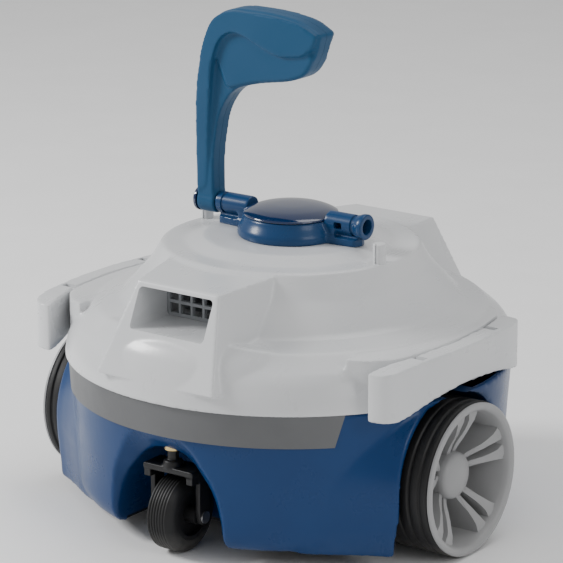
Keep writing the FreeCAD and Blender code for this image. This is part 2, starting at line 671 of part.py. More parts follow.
def float_face():
    """Side outline of the head's full bulb."""
    points = [V(-64, 0, HEAD_LOW_Z + 22), V(-60, 0, HANDLE_TOP_Z), V(0, 0, HANDLE_TOP_Z),
              V(HEAD_TIP_X, 0, HANDLE_TOP_Z - 11), V(HEAD_TIP_X - 11, 0, HEAD_LOW_Z + 9),
              V(-20, 0, HEAD_LOW_Z + 3)]
    return Part.Face(rounded_wire(points, [10, 18, 50, 4, 14, 20]))


def pushed_both_ways(face, half):
    """face, which lies in the XZ plane, given a thickness of half on each side of it."""
    solid = face.extrude(V(0, 2 * half, 0))
    solid.translate(V(0, -half, 0))
    return solid


def handle_solid():
    """The handle before it is split: thin arm, thick float, foot eye round the pivot."""
    arm = pushed_both_ways(handle_face(), ARM_HALF_T)
    bulb = pushed_both_ways(float_face(), FLOAT_HALF_T)
    foot = cylinder(ARM_FOOT_R, ARM_OUT_X - ARM_IN_X, V(-ARM_OUT_X, 0, BARREL_Z), X_AXIS)
    body = joined(arm, bulb, foot)
    return body.cut(cylinder(PIVOT_R + RUNNING, 40, V(-ARM_OUT_X - 2, 0, BARREL_Z), X_AXIS))


def float_room(gap):
    """Hollow inside the float, less gap all round."""
    inset = HANDLE_WALL + gap
    return pushed_both_ways(float_face().makeOffset2D(-inset), FLOAT_HALF_T - inset)


def handle_half(front):
    """One moulded half of the handle, split on the XZ plane."""
    low_y, high_y = (-40, 0) if front else (0, 40)
    span = block(-120, 120, low_y, high_y, 150, 400)
    return handle_solid().cut(float_room(0)).common(span)


def float_core():
    """Closed-cell foam that keeps the handle afloat if its seam leaks."""
    return float_room(SEAT_GAP)


# ---- lower body ----
def lower_shell():
    """Blue bowl with wheel housings and caster rooms."""
    top, foot = SHELL_TOP_R, SHELL_FOOT_R
    z_foot = SHELL_BOTTOM_Z
    outer = spun([(0, z_foot, 0), (foot - FOOT_CHAMFER, z_foot, 0), (foot, z_foot + FOOT_CHAMFER, 4),
                  (top, SHELL_TOP_Z, 0), (0, SHELL_TOP_Z, 0)])
    wall = SHELL_WALL
    inner = spun([(0, z_foot + wall, 0), (foot - FOOT_CHAMFER - 1, z_foot + wall, 0),
                  (foot - wall, z_foot + FOOT_CHAMFER + 1, 2), (top - wall, SHELL_TOP_Z + 1, 0),
                  (0, SHELL_TOP_Z + 1, 0)])
    body = outer.cut(inner)
    tall = spun([(0, z_foot, 0), (foot - FOOT_CHAMFER, z_foot, 0), (foot, z_foot + FOOT_CHAMFER, 4),
                 (top, SHELL_TOP_Z, 0), (top - 1.5, VAULT_TOP_Z + 1, 0), (0, VAULT_TOP_Z + 1, 0)])
    additions, cuts = [], []
    for side in SIDES.values():
        skin = vault(WELL_R + wall, WELL_INNER_X - wall).common(tall)
        lip = prism([V(LIP_ROOT_X, lip_y() - LIP_RUN, z_foot), V(LIP_TIP_X, lip_y() - 1.5, z_foot),
                     V(LIP_TIP_X, lip_y() + 1, z_foot), V(LIP_ROOT_X, lip_y() + 1, z_foot)],
                    [0, 0, 0, 0], V(0, 0, LIP_TOP_Z - z_foot))
        additions.append(mirrored_x(lip, side))
        brow = vault(VAULT_R, 139).common(tall).cut(block(0, 300, -200, 200, -20, AXLE_Z + 20))
        boss = cylinder(AXLE_R + 5, 16, V(WELL_INNER_X - wall - 12, AXLE_Y, AXLE_Z), X_AXIS)
        for piece in (skin, brow, boss):
            additions.append(mirrored_x(piece, side))
        cuts.append(mirrored_x(vault(WELL_R, WELL_INNER_X), side))
    for end in ENDS.values():
        additions.append(turned_end(caster_room(wall).common(outer), end))
        boss = cylinder(STEM_BOSS_R, STEM_BOSS_T, V(0, -CASTER_Y, WELL_CROWN_Z), Z_AXIS)
        additions.append(turned_end(boss, end))
        cuts.append(turned_end(caster_room(), end))
    cuts.append(cylinder(FLANGE_IN_R, wall + 2, V(0, 0, z_foot - 1), Z_AXIS))
    room_skin = caster_room(wall).cut(caster_room()).common(outer)
    keep_rooms = [turned_end(room_skin, end) for end in ENDS.values()]
    vault_skin = vault(WELL_R + wall, WELL_INNER_X - wall).cut(vault(WELL_R, WELL_INNER_X)).common(tall)
    keep_vaults = [mirrored_x(vault_skin, side) for side in SIDES.values()]
    body = without(joined(body, *additions), *cuts)
    body = joined(body, *keep_rooms, *keep_vaults)
    axle_seat = cylinder(AXLE_R, 40, V(WELL_INNER_X - 30, AXLE_Y, AXLE_Z), X_AXIS)
    bush_seat = cylinder(STEM_R + BUSH_T, 30, V(0, -CASTER_Y, WELL_CROWN_Z - 5), Z_AXIS)
    body = without(body, *[mirrored_x(axle_seat, side) for side in SIDES.values()],
                   *[turned_end(bush_seat, end) for end in ENDS.values()])
    panel = block(-PANEL_HALF_W, PANEL_HALF_W, 130, 170, PANEL_LOW_Z, PANEL_TOP_Z)
    return without(body, panel, band_groove())


def lip_y():
    """Where the front lip of a wheel arch meets the arch."""
    return AXLE_Y - WELL_R


def band_solid(out, low, high, half_angle, deep):
    """A strip of the shell's wall at the front, with slanted ends."""
    slope = (SHELL_TOP_R - SHELL_FOOT_R) / (SHELL_TOP_Z - SHELL_BOTTOM_Z - FOOT_CHAMFER)
    low_r = SHELL_TOP_R - slope * (SHELL_TOP_Z - low)
    strip = spun([(low_r - deep, low, 0), (low_r + out, low, 0), (SHELL_TOP_R + out, high, 0),
                  (SHELL_TOP_R - deep, high, 0)])
    top = math.tan(math.radians(half_angle))
    reach = 260
    slant = 10.0
    wedge = [V(0, 0, low - 1), V(-reach * top, -reach, low - 1), V(reach * top, -reach, low - 1)]
    low_face = Part.makePolygon(wedge + wedge[:1])
    high_face = low_face.copy()
    high_face.translate(V(0, slant, high - low + 2))
    return strip.common(Part.makeLoft([low_face, high_face], True, True))


def band_groove():
    """Groove in the shell that the grey strip is pressed into."""
    return band_solid(5, BAND_LOW_Z, SHELL_TOP_Z + 1, BAND_HALF_ANGLE, BAND_T - BAND_PROUD)


def bumper_strip():
    """Grey strip round the front of the shell, under the cover's edge."""
    depth = BAND_T - BAND_PROUD - SEAT_GAP / 2
    return band_solid(BAND_PROUD, BAND_LOW_Z + SEAT_GAP, SHELL_TOP_Z, BAND_HALF_ANGLE - 0.3, depth)


def floor_pan():
    """Underside plate with the suction slot and rooms for wheels and casters."""
    low = SHELL_BOTTOM_Z
    plate = cylinder(FLANGE_IN_R - SEAT_GAP, PAN_T, V(0, 0, low), Z_AXIS)
    gap = SEAT_GAP
    for side in SIDES.values():
        housing = vault(WELL_R + SHELL_WALL + gap, WELL_INNER_X - SHELL_WALL - gap)
        plate = plate.cut(mirrored_x(housing, side))
    for end in ENDS.values():
        plate = plate.cut(turned_end(caster_room(SHELL_WALL + gap), end))
    slot = block(-SLOT_HALF_L, SLOT_HALF_L, SLOT_Y - SLOT_HALF_W, SLOT_Y + SLOT_HALF_W,
                 low - 1, low + PAN_T + 1)
    slot = slot.makeFillet(6, [e for e in slot.Edges if e.BoundBox.ZLength > 1])
    plate = plate.cut(slot)
    for place in pan_screw_places():
        plate = plate.cut(cylinder(SCREW_R + 0.2, 10, V(place.x, place.y, low - 1), Z_AXIS))
    return plate


def pan_screw_places():
    """Where screws hold the underside plate."""
    return [V(x, y, 0) for x in (-70, 70) for y in (-98, 98)]


def pan_screws():
    """Four screws up through the underside plate."""
    screws = []
    for place in pan_screw_places():
        head = cylinder(SCREW_HEAD_R, 1.6, V(place.x, place.y, SHELL_BOTTOM_Z - 1.6), Z_AXIS)
        shank = cylinder(SCREW_R, 9, V(place.x, place.y, SHELL_BOTTOM_Z), Z_AXIS)
        screws.append(joined(head, shank))
    return Part.makeCompound(screws)


def suction_lips():
    """Two soft wipers that stand along the suction slot."""
    lips = []
    for step in (-1, 1):
        y = SLOT_Y + step * (SLOT_HALF_W + 3)
        lips.append(block(-SLOT_HALF_L, SLOT_HALF_L, y - 1, y + 1, SHELL_BOTTOM_Z - 8, SHELL_BOTTOM_Z))
        lips.append(block(-SLOT_HALF_L, SLOT_HALF_L, y - 2.5, y + 2.5, SHELL_BOTTOM_Z - 1.5, SHELL_BOTTOM_Z))
    return Part.makeCompound([joined(lips[0], lips[1]), joined(lips[2], lips[3])])


def filter_tray():
    """Debris basket that stands on the underside plate, with a chimney over the slot."""
    low, high = TRAY_LOW_Z, TRAY_TOP_Z
    box = block(-TRAY_HALF_X, TRAY_HALF_X, -TRAY_HALF_Y, TRAY_HALF_Y, low, high)
    box = box.makeFillet(10, [e for e in box.Edges if e.BoundBox.ZLength > 10])
    wall = TRAY_WALL
    room_x, room_y = TRAY_HALF_X - wall, TRAY_HALF_Y - wall
    room = block(-room_x, room_x, -room_y, room_y, low + wall, high + 1)
    room = room.makeFillet(8, [e for e in room.Edges if e.BoundBox.ZLength > 10])
    half_l, half_w = SLOT_HALF_L + 1, SLOT_HALF_W + 1
    chimney = block(-half_l - 2, half_l + 2, SLOT_Y - half_w - 2, SLOT_Y + half_w + 2,
                    SHELL_BOTTOM_Z + PAN_T, low + CHIMNEY_H)
    bore = block(-half_l, half_l, SLOT_Y - half_w, SLOT_Y + half_w, low - 5, low + 30)
    windows = []
    for step in range(-3, 4):
        x = step * 22
        windows.append(block(x - 8, x + 8, -TRAY_HALF_Y - 5, TRAY_HALF_Y + 5, low + 20, high - 8))
    for step in range(-2, 3):
        y = step * 24
        windows.append(block(-TRAY_HALF_X - 5, TRAY_HALF_X + 5, y - 9, y + 9, low + 20, high - 8))
    tray = joined(without(box, room, *windows), chimney)
    saddle_z = low + CHIMNEY_H
    for step in (-1, 1):
        mid = step * (half_l + 1)
        saddle = block(mid - 1.0, mid + 1.0, SLOT_Y - half_w - 4, SLOT_Y - half_w + 4,
                       saddle_z - 1, saddle_z + 5)
        tray = joined(tray, saddle)
    rod_start = V(-100, SLOT_Y - half_w, saddle_z + FLAP_ROD_RISE)
    rod_hole = cylinder(FLAP_ROD_R + RUNNING, 200, rod_start, X_AXIS)
    return without(tray, bore, rod_hole.common(block(-half_l - 3, half_l + 3, -200, 200, -200, 200)))


def filter_screen():
    """Ribbed screen frame that lies on the basket."""
    low = TRAY_TOP_Z
    plate = block(-TRAY_HALF_X, TRAY_HALF_X, -TRAY_HALF_Y, TRAY_HALF_Y, low, low + SCREEN_T)
    plate = plate.makeFillet(10, [e for e in plate.Edges if e.BoundBox.ZLength > 1])
    windows = []
    for i in range(6):
        x = -TRAY_HALF_X + 8 + i * 30
        for j in range(5):
            y = -TRAY_HALF_Y + 7 + j * 31.5
            windows.append(block(x, x + 26, y, y + 28, low - 1, low + SCREEN_T + 1))
    return without(plate, *windows)


def filter_mesh():
    """Fine mesh sheet laid on the screen frame."""
    low = TRAY_TOP_Z + SCREEN_T
    return block(-TRAY_HALF_X + 3, TRAY_HALF_X - 3, -TRAY_HALF_Y + 3, TRAY_HALF_Y - 3, low, low + 0.6)


def intake_flap():
    """Rubber-edged flap over the chimney that keeps dirt in when the pump stops."""
    z = TRAY_LOW_Z + CHIMNEY_H + FLAP_ROD_RISE
    half_w = SLOT_HALF_W + 1
    y = SLOT_Y - half_w
    half_l = SLOT_HALF_L - 0.5
    leaf = block(-half_l, half_l, y, y + 2 * half_w + 2, z - 1.2, z + 0.8)
    rod_half = SLOT_HALF_L + 3
    rod = cylinder(FLAP_ROD_R, 2 * rod_half, V(-rod_half, y, z), X_AXIS)
    return joined(leaf, rod)


# ---- pump pod ----
def pod_case():
    """Sealed lower case for motor and battery, on four legs that stand on the screen frame."""
    low, high = POD_LOW_Z, POD_TOP_Z - POD_LID_T
    box = block(-POD_HALF_X, POD_HALF_X, -POD_HALF_Y, POD_HALF_Y, low, high)
    box = box.makeFillet(8, [e for e in box.Edges if e.BoundBox.ZLength > 10])
    wall = POD_WALL
    room_x, room_y = POD_HALF_X - wall, POD_HALF_Y - wall
    room = block(-room_x, room_x, -room_y, room_y, low + wall, high + 1)
    room = room.makeFillet(5, [e for e in room.Edges if e.BoundBox.ZLength > 10])
    legs = [block(x - 5, x + 5, y - 5, y + 5, TRAY_TOP_Z + SCREEN_T + 0.6, low + 1)
            for x in (-64, 64) for y in (-36, 36)]
    posts = [cylinder(4, high - low - wall + 0.5, V(p.x, p.y, low + wall - 0.5), Z_AXIS)
             for p in lid_screw_places()]
    case = joined(box.cut(room), *legs, *posts)
    return without(case, *[cylinder(SCREW_R, 10, V(p.x, p.y, high - 9), Z_AXIS) for p in lid_screw_places()])


def pod_lid():
    """Lid of the sealed case, with the shaft's bearing boss."""
    low = POD_TOP_Z - POD_LID_T
    plate = block(-POD_HALF_X, POD_HALF_X, -POD_HALF_Y, POD_HALF_Y, low, POD_TOP_Z)
    plate = plate.makeFillet(8, [e for e in plate.Edges if e.BoundBox.ZLength > 1])
    boss = cylinder(9, 4, V(0, 0, POD_TOP_Z), Z_AXIS)
    holes = [cylinder(SCREW_R, 10, V(p.x, p.y, low - 1), Z_AXIS) for p in lid_screw_places()]
    return without(joined(plate, boss), cylinder(5.5, 20, V(0, 0, low - 1), Z_AXIS), lid_groove(0), *holes)


def lid_gasket():
    """Rubber ring between the case's rim and its lid, in a groove of the lid."""
    return lid_groove(SEAT_GAP / 3)


def lid_groove(shrink):
    """Rectangular ring of the groove in the lid's underside, less shrink on every face."""
    low = POD_TOP_Z - POD_LID_T
    deep = 1.5
    mid = POD_WALL / 2
    half = 0.9 - shrink
    out_x, out_y = POD_HALF_X - mid + half, POD_HALF_Y - mid + half
    out = block(-out_x, out_x, -out_y, out_y,
                low, low + deep - shrink)
    out = out.makeFillet(6.5 + half, [e for e in out.Edges if e.BoundBox.ZLength > 1])
    hole_x, hole_y = POD_HALF_X - mid - half, POD_HALF_Y - mid - half
    hole = block(-hole_x, hole_x, -hole_y, hole_y,
                 low - 1, low + deep + 1)
    hole = hole.makeFillet(6.5 - half, [e for e in hole.Edges if e.BoundBox.ZLength > 1])
    return out.cut(hole)


def lid_screw_places():
    """Where screws hold the case's lid."""
    return [V(x, y, 0) for x in (-66.5, 66.5) for y in (-36.5, 36.5)]


def lid_screws():
    """Four screws that hold the case's lid."""
    screws = []
    for place in lid_screw_places():
        head = cylinder(SCREW_HEAD_R, 1.8, V(place.x, place.y, POD_TOP_Z), Z_AXIS)
        shank = cylinder(SCREW_R, 12, V(place.x, place.y, POD_TOP_Z - 12), Z_AXIS)
        screws.append(joined(head, shank))
    return Part.makeCompound(screws)


def shaft_seal():
    """Lip seal in the lid's boss."""
    return ring(5.5, MOTOR_SHAFT_R + RUNNING, 6, V(0, 0, POD_TOP_Z - 3), Z_AXIS)


def motor():
    """Pump motor can, standing on the case floor."""
    low = POD_LOW_Z + POD_WALL
    can = cylinder(MOTOR_R, MOTOR_H, V(0, 0, low), Z_AXIS)
    can = can.makeFillet(2, [e for e in can.Edges if e.BoundBox.ZLength < 0.01])
    return can.cut(cylinder(MOTOR_SHAFT_R + RUNNING, 12, V(0, 0, low + MOTOR_H - 10), Z_AXIS))


def battery_cells():
    """Six round cells, three each side of the motor."""
    cells = []
    for side in (-1, 1):
        for i in range(3):
            out = 3 * CELL_R + 0.6 if i == 2 else CELL_R
            x = side * (MOTOR_R + 2 + out)
            z = POD_LOW_Z + POD_WALL + CELL_R + (i % 2) * (2 * CELL_R + 0.4)
            cells.append(cylinder(CELL_R, CELL_L, V(x, -CELL_L / 2, z), Y_AXIS))
    return Part.makeCompound(cells)


def control_board():
    """Circuit board on the case's side wall, under the lid."""
    y = POD_HALF_Y - POD_WALL - 1.6
    board = block(-30, 30, y, y + 1.6, POD_LOW_Z + 8, POD_LOW_Z + 38)
    chips = [block(x, x + 9, y - 2.4, y, POD_LOW_Z + 14, POD_LOW_Z + 23) for x in (-24, -6, 12)]
    return joined(board, *chips)


def impeller():
    """Six-bladed pump rotor and its shaft."""
    shaft = cylinder(MOTOR_SHAFT_R, IMPELLER_Z + IMPELLER_H - (POD_LOW_Z + POD_WALL + MOTOR_H - 9),
                     V(0, 0, POD_LOW_Z + POD_WALL + MOTOR_H - 9), Z_AXIS)
    plate = cylinder(IMPELLER_R, 2, V(0, 0, IMPELLER_Z), Z_AXIS)
    hub = cylinder(7, IMPELLER_H, V(0, 0, IMPELLER_Z), Z_AXIS)
    blades = []
    for i in range(BLADE_COUNT):
        blade = block(5, IMPELLER_R, -0.9, 0.9, IMPELLER_Z, IMPELLER_Z + IMPELLER_H)
        blade.rotate(V(0, 0, IMPELLER_Z), Z_AXIS, i * 360 / BLADE_COUNT)
        blades.append(blade)
    return joined(shaft, plate, hub, *blades)


def pump_riser():
    """Tube round the impeller that leads up to the manifold, with low intake windows."""
    top = NOZZLE_FLOOR_Z - MANIFOLD_WALL - SEAT_GAP
    tube = ring(RISER_R + 2, RISER_R, top - POD_TOP_Z, V(0, 0, POD_TOP_Z), Z_AXIS)
    windows = []
    for i in range(4):
        window = block(-8, 8, 0, RISER_R + 5, POD_TOP_Z + 2, POD_TOP_Z + 9)
        window.rotate(V(0, 0, 0), Z_AXIS, 45 + i * 90)
        windows.append(window)
    return without(tube, *windows)


# ---- rear panel ----
def control_panel():
    """Insert in the rear wall that holds the switch and the charging socket."""
    y1 = PANEL_FACE_Y
    y0 = y1 - PANEL_T
    gap = SEAT_GAP
    plate = block(-PANEL_HALF_W + gap, PANEL_HALF_W - gap, y0, y1, PANEL_LOW_Z + gap, PANEL_TOP_Z - gap)
    plate = plate.makeFillet(2.0, [e for e in plate.Edges if e.BoundBox.YLength > 1])
    tabs = block(-PANEL_HALF_W - 3, PANEL_HALF_W + 3, y0 - 14, y0 - 12.5, PANEL_LOW_Z - 1, PANEL_TOP_Z + 1)
    stems = [block(x - 3, x + 3, y0 - 13, y0 + 1, PANEL_MID_Z - 8, PANEL_MID_Z + 8) for x in (-36, 0, 36)]
    socket_hole = cylinder(SOCKET_OUT_R, 60, V(SOCKET_X, y0 - 20, PANEL_MID_Z), Y_AXIS)
    button_hole = cylinder(BUTTON_R + 0.3, 60, V(BUTTON_X, y0 - 20, PANEL_MID_Z), Y_AXIS)
    guide = ring(BUTTON_R + 2.3, BUTTON_R + 0.3, 10, V(BUTTON_X, y0 - 9, PANEL_MID_Z), Y_AXIS)
    ears = [block(SOCKET_X + s * 11 - 1.5, SOCKET_X + s * 11 + 1.5, y1, y1 + 4,
                  PANEL_TOP_Z - 5, PANEL_TOP_Z - gap)
            for s in (-1, 1)]
    body = joined(without(joined(plate, tabs, *stems), socket_hole, button_hole), guide, *ears)
    return body.cut(cylinder(1.2, 40, V(SOCKET_X - 20, y1 + 2, PANEL_TOP_Z - 2.6), X_AXIS))


def charging_socket():
    """Round socket for the charger's plug, closed at its inner end."""
    y1 = PANEL_FACE_Y
    body = cylinder(SOCKET_OUT_R, SOCKET_L + 4, V(SOCKET_X, y1 - SOCKET_L - 4, PANEL_MID_Z), Y_AXIS)
    return without(body, cylinder(SOCKET_R, SOCKET_L + 1, V(SOCKET_X, y1 - SOCKET_L, PANEL_MID_Z), Y_AXIS),
                   cylinder(0.8, 2, V(SOCKET_X, y1 - SOCKET_L - 1, PANEL_MID_Z), Y_AXIS))


def charging_pin():
    """Brass contact pin in the socket."""
    y1 = PANEL_FACE_Y
    return cylinder(0.8, SOCKET_L - 1, V(SOCKET_X, y1 - SOCKET_L - 1, PANEL_MID_Z), Y_AXIS)


def socket_flap():
    """Rubber cover hinged above the socket."""
    y = PANEL_FACE_Y + SEAT_GAP
    z = PANEL_TOP_Z - 2.6
    lid = cylinder(FLAP_R, FLAP_T, V(SOCKET_X, y, PANEL_MID_Z), Y_AXIS)
    tongue = block(SOCKET_X - 7, SOCKET_X + 7, y, y + FLAP_T, PANEL_MID_Z, z)
    knuckle = cylinder(1.8, 18, V(SOCKET_X - 9, PANEL_FACE_Y + 2, z), X_AXIS)
    rod = cylinder(1.2 - RUNNING, 25, V(SOCKET_X - 12.5, PANEL_FACE_Y + 2, z), X_AXIS)
    return joined(lid, tongue, knuckle, rod)


def power_button():
    """Round push switch cap."""
    y1 = PANEL_FACE_Y + 1.5
    cap = cylinder(BUTTON_R, 11, V(BUTTON_X, y1 - 11, PANEL_MID_Z), Y_AXIS)
    return cap.makeFillet(1.2, [e for e in cap.Edges if e.BoundBox.YMin > y1 - 0.5])


def switch_block():
    """Switch body behind the button."""
    y0 = PANEL_FACE_Y - PANEL_T - 12.5
    room_y = PANEL_FACE_Y + 1.5 - 11 - BUTTON_TRAVEL - SEAT_GAP
    half = 5.5
    return block(BUTTON_X - half, BUTTON_X + half, y0, room_y, PANEL_MID_Z - half, PANEL_MID_Z + half)


# ---- side wheels ----
def wheel_hub(side):
    """Light grey deep-dish wheel: rim, back web, boss and paired spokes."""
    tread_r = WHEEL_R - TYRE_T - RUNNING
    span = WHEEL_FACE_X - WHEEL_INNER_X
    start = V(WHEEL_INNER_X, AXLE_Y, AXLE_Z)
    rim = ring(tread_r, tread_r - RIM_WALL, span, start, X_AXIS)
    lip = ring(WHEEL_R - 1.0, tread_r - RIM_WALL, 2.5, V(WHEEL_FACE_X - 2.5, AXLE_Y, AXLE_Z), X_AXIS)
    web = cylinder(tread_r - 1, 3, V(WHEEL_INNER_X + 9, AXLE_Y, AXLE_Z), X_AXIS)
    boss = cylinder(HUB_BOSS_R, HUB_FACE_X - WHEEL_INNER_X, start, X_AXIS)
    spokes = []
    for i in range(SPOKE_COUNT):
        pair = 1 if i % 2 else -1
        lean = pair * 4.5
        points = [V(WHEEL_INNER_X + 11, 0, HUB_BOSS_R - 3), V(HUB_FACE_X - 1, 0, HUB_BOSS_R - 3),
                  V(WHEEL_FACE_X - 2, 0, tread_r - 1), V(WHEEL_INNER_X + 11, 0, tread_r - 1)]
        spoke = Part.Face(Part.makePolygon(points + points[:1])).extrude(V(0, SPOKE_T, 0))
        spoke.translate(V(0, -SPOKE_T / 2, 0))
        spoke.rotate(V(0, 0, HUB_BOSS_R), X_AXIS, -lean)
        spoke.rotate(V(0, 0, 0), X_AXIS, (i // 2) * 720 / SPOKE_COUNT + pair * 14)
        spoke.translate(V(0, AXLE_Y, AXLE_Z))
        spokes.append(spoke)
    hub = joined(rim, lip, web, boss, *spokes)
    hub = hub.cut(cylinder(AXLE_R + BUSH_T, span, V(WHEEL_INNER_X - 1, AXLE_Y, AXLE_Z), X_AXIS).common(
        block(0, HUB_FACE_X - 6, -200, 200, -200, 200)))
    return mirrored_x(hub, side)


def tyre(side):
    """Black soft tyre with eased shoulders and fine cross grooves."""
    span = WHEEL_FACE_X - WHEEL_INNER_X - 2.5 - SEAT_GAP
    body = cylinder(WHEEL_R, span, V(WHEEL_INNER_X, AXLE_Y, AXLE_Z), X_AXIS)
    inner_rims = [e for e in body.Edges if e.BoundBox.XLength < 0.01 and e.BoundBox.XMin < WHEEL_INNER_X + 1]
    body = body.makeFillet(TYRE_SHOULDER, inner_rims)
    bore = cylinder(WHEEL_R - TYRE_T, span + 2, V(WHEEL_INNER_X - 1, AXLE_Y, AXLE_Z), X_AXIS)
    return mirrored_x(body.cut(bore), side)


def wheel_bushes(side):
    """Two plain bushes in the hub, one at each end of its bore."""
    bushes = []
    for x in (WHEEL_INNER_X, axle_end_x() - SEAT_GAP - BUSH_L):
        foot = V(x, AXLE_Y, AXLE_Z)
        bushes.append(ring(AXLE_R + BUSH_T - RUNNING, AXLE_R + RUNNING, BUSH_L, foot, X_AXIS))
    return mirrored_x(Part.makeCompound(bushes), side)


def axle_end_x():
    """Outer end of a stub axle, inside the hub's blind bore."""
    return HUB_FACE_X - 6 - 3.5


def stub_axles():
    """Both steel stub axles."""
    return Part.makeCompound([stub_axle(side) for side in SIDES.values()])


def stub_axle(side):
    """Steel stub axle held in the shell's boss, with a shoulder inside."""
    inner = WELL_INNER_X - SHELL_WALL - 12
    shaft = cylinder(AXLE_R, axle_end_x() - inner, V(inner, AXLE_Y, AXLE_Z), X_AXIS)
    shoulder = cylinder(AXLE_R + 3, 3, V(inner - 3, AXLE_Y, AXLE_Z), X_AXIS)
    return mirrored_x(joined(shaft, shoulder), side)


def axle_clips():
    """Retaining washer and screw of both stub axles."""
    return Part.makeCompound([axle_clip(side) for side in SIDES.values()])


def axle_clip(side):
    """Retaining ring and screw on the axle's outer end, inside the hub's blind bore."""
    x = axle_end_x()
    washer = cylinder(AXLE_R + 1.2, 1.5, V(x, AXLE_Y, AXLE_Z), X_AXIS)
    head = cylinder(SCREW_HEAD_R, 1.6, V(x + 1.5, AXLE_Y, AXLE_Z), X_AXIS)
    return mirrored_x(joined(washer, head), side)


# ---- casters ----
def caster_fork(end):
    """Swivelling fork with its stem."""
    axle_y = -CASTER_Y + CASTER_TRAIL
    outer, inner = FORK_INNER_HALF_W + FORK_T, FORK_INNER_HALF_W
    crown = block(-outer, outer, -CASTER_Y - STEM_R - 3, axle_y + FORK_LEG_HALF_L,
                  FORK_CROWN_Z, FORK_CROWN_Z + FORK_CROWN_T)
    ends = [e for e in crown.Edges if e.BoundBox.XLength < 0.01 and e.BoundBox.YLength > 1
            and e.BoundBox.ZMin > FORK_CROWN_Z + 1]
    crown = crown.makeFillet(2.0, ends)
    legs = []
    for s in (-1, 1):
        x0, x1 = sorted((s * inner, s * outer))
        legs.append(block(x0, x1, axle_y - FORK_LEG_HALF_L, axle_y + FORK_LEG_HALF_L,
                          CASTER_WHEEL_R, FORK_CROWN_Z + 1))
        legs.append(cylinder(FORK_LEG_HALF_L, FORK_T, V(x0, axle_y, CASTER_WHEEL_R), X_AXIS))
    stem_top = WELL_CROWN_Z + STEM_BOSS_T + 1.8
    stem = cylinder(STEM_R, stem_top - FORK_CROWN_Z, V(0, -CASTER_Y, FORK_CROWN_Z), Z_AXIS)
    collar = cylinder(STEM_R + 2.5, 3, V(0, -CASTER_Y, FORK_CROWN_Z + FORK_CROWN_T), Z_AXIS)
    fork = joined(crown, *legs, stem, collar)
    fork = fork.cut(cylinder(CASTER_AXLE_R, 60, V(-30, axle_y, CASTER_WHEEL_R), X_AXIS))
    return turned_end(fork, end)


def caster_bushes():
    """Swivel bushes in the shell's bosses, front and rear."""
    foot = V(0, -CASTER_Y, WELL_CROWN_Z - 1.5)
    bush = ring(STEM_R + BUSH_T, STEM_R + RUNNING, STEM_BOSS_T + 1.5, foot, Z_AXIS)
    return Part.makeCompound([turned_end(bush, end) for end in ENDS.values()])


def caster_clip(end):
    """Ring that keeps the stem from dropping out."""
    z = WELL_CROWN_Z + STEM_BOSS_T + SEAT_GAP
    return turned_end(ring(STEM_R + 2.5, STEM_R, 1.2, V(0, -CASTER_Y, z), Z_AXIS), end)


def caster_axle(end):
    """Steel pin through the fork's legs."""
    half = FORK_INNER_HALF_W + FORK_T
    axle_y = -CASTER_Y + CASTER_TRAIL
    pin = cylinder(CASTER_AXLE_R, 2 * half, V(-half, axle_y, CASTER_WHEEL_R), X_AXIS)
    heads = [cylinder(CASTER_AXLE_R + 1.2, 1, V(s * half - (1 if s < 0 else 0), axle_y, CASTER_WHEEL_R),
                      X_AXIS)
             for s in (-1, 1)]
    return turned_end(joined(pin, *heads), end)


def caster_tyre(end):
    """Round-shouldered black tread."""
    axle_y = -CASTER_Y + CASTER_TRAIL
    half = CASTER_WHEEL_W / 2
    body = cylinder(CASTER_WHEEL_R, CASTER_WHEEL_W, V(-half, axle_y, CASTER_WHEEL_R), X_AXIS)
    body = body.makeFillet(CASTER_SHOULDER, [e for e in body.Edges if e.BoundBox.XLength < 0.01])
    bore_r = CASTER_WHEEL_R - CASTER_TYRE_T - CASTER_SHOULDER
    bore = cylinder(bore_r, 60, V(-30, axle_y, CASTER_WHEEL_R), X_AXIS)
    return turned_end(body.cut(bore), end)


def caster_core(end):
    """Wheel centre that turns on the pin, with a boss each side that keeps it off the fork."""
    axle_y = -CASTER_Y + CASTER_TRAIL
    half = CASTER_WHEEL_W / 2
    radius = CASTER_WHEEL_R - CASTER_TYRE_T - CASTER_SHOULDER
    body = cylinder(radius, CASTER_WHEEL_W, V(-half, axle_y, CASTER_WHEEL_R), X_AXIS)
    dish_t = 4.0
    dishes = [cylinder(radius - 3, dish_t, V(x, axle_y, CASTER_WHEEL_R), X_AXIS)
              for x in (-half, half - dish_t)]
    boss_foot = V(-CASTER_CORE_HALF_W, axle_y, CASTER_WHEEL_R)
    boss = cylinder(CASTER_AXLE_R + 3, 2 * CASTER_CORE_HALF_W, boss_foot, X_AXIS)
    bore = cylinder(CASTER_AXLE_R + RUNNING, 60, V(-30, axle_y, CASTER_WHEEL_R), X_AXIS)
    return turned_end(joined(without(body, *dishes), boss).cut(bore), end)


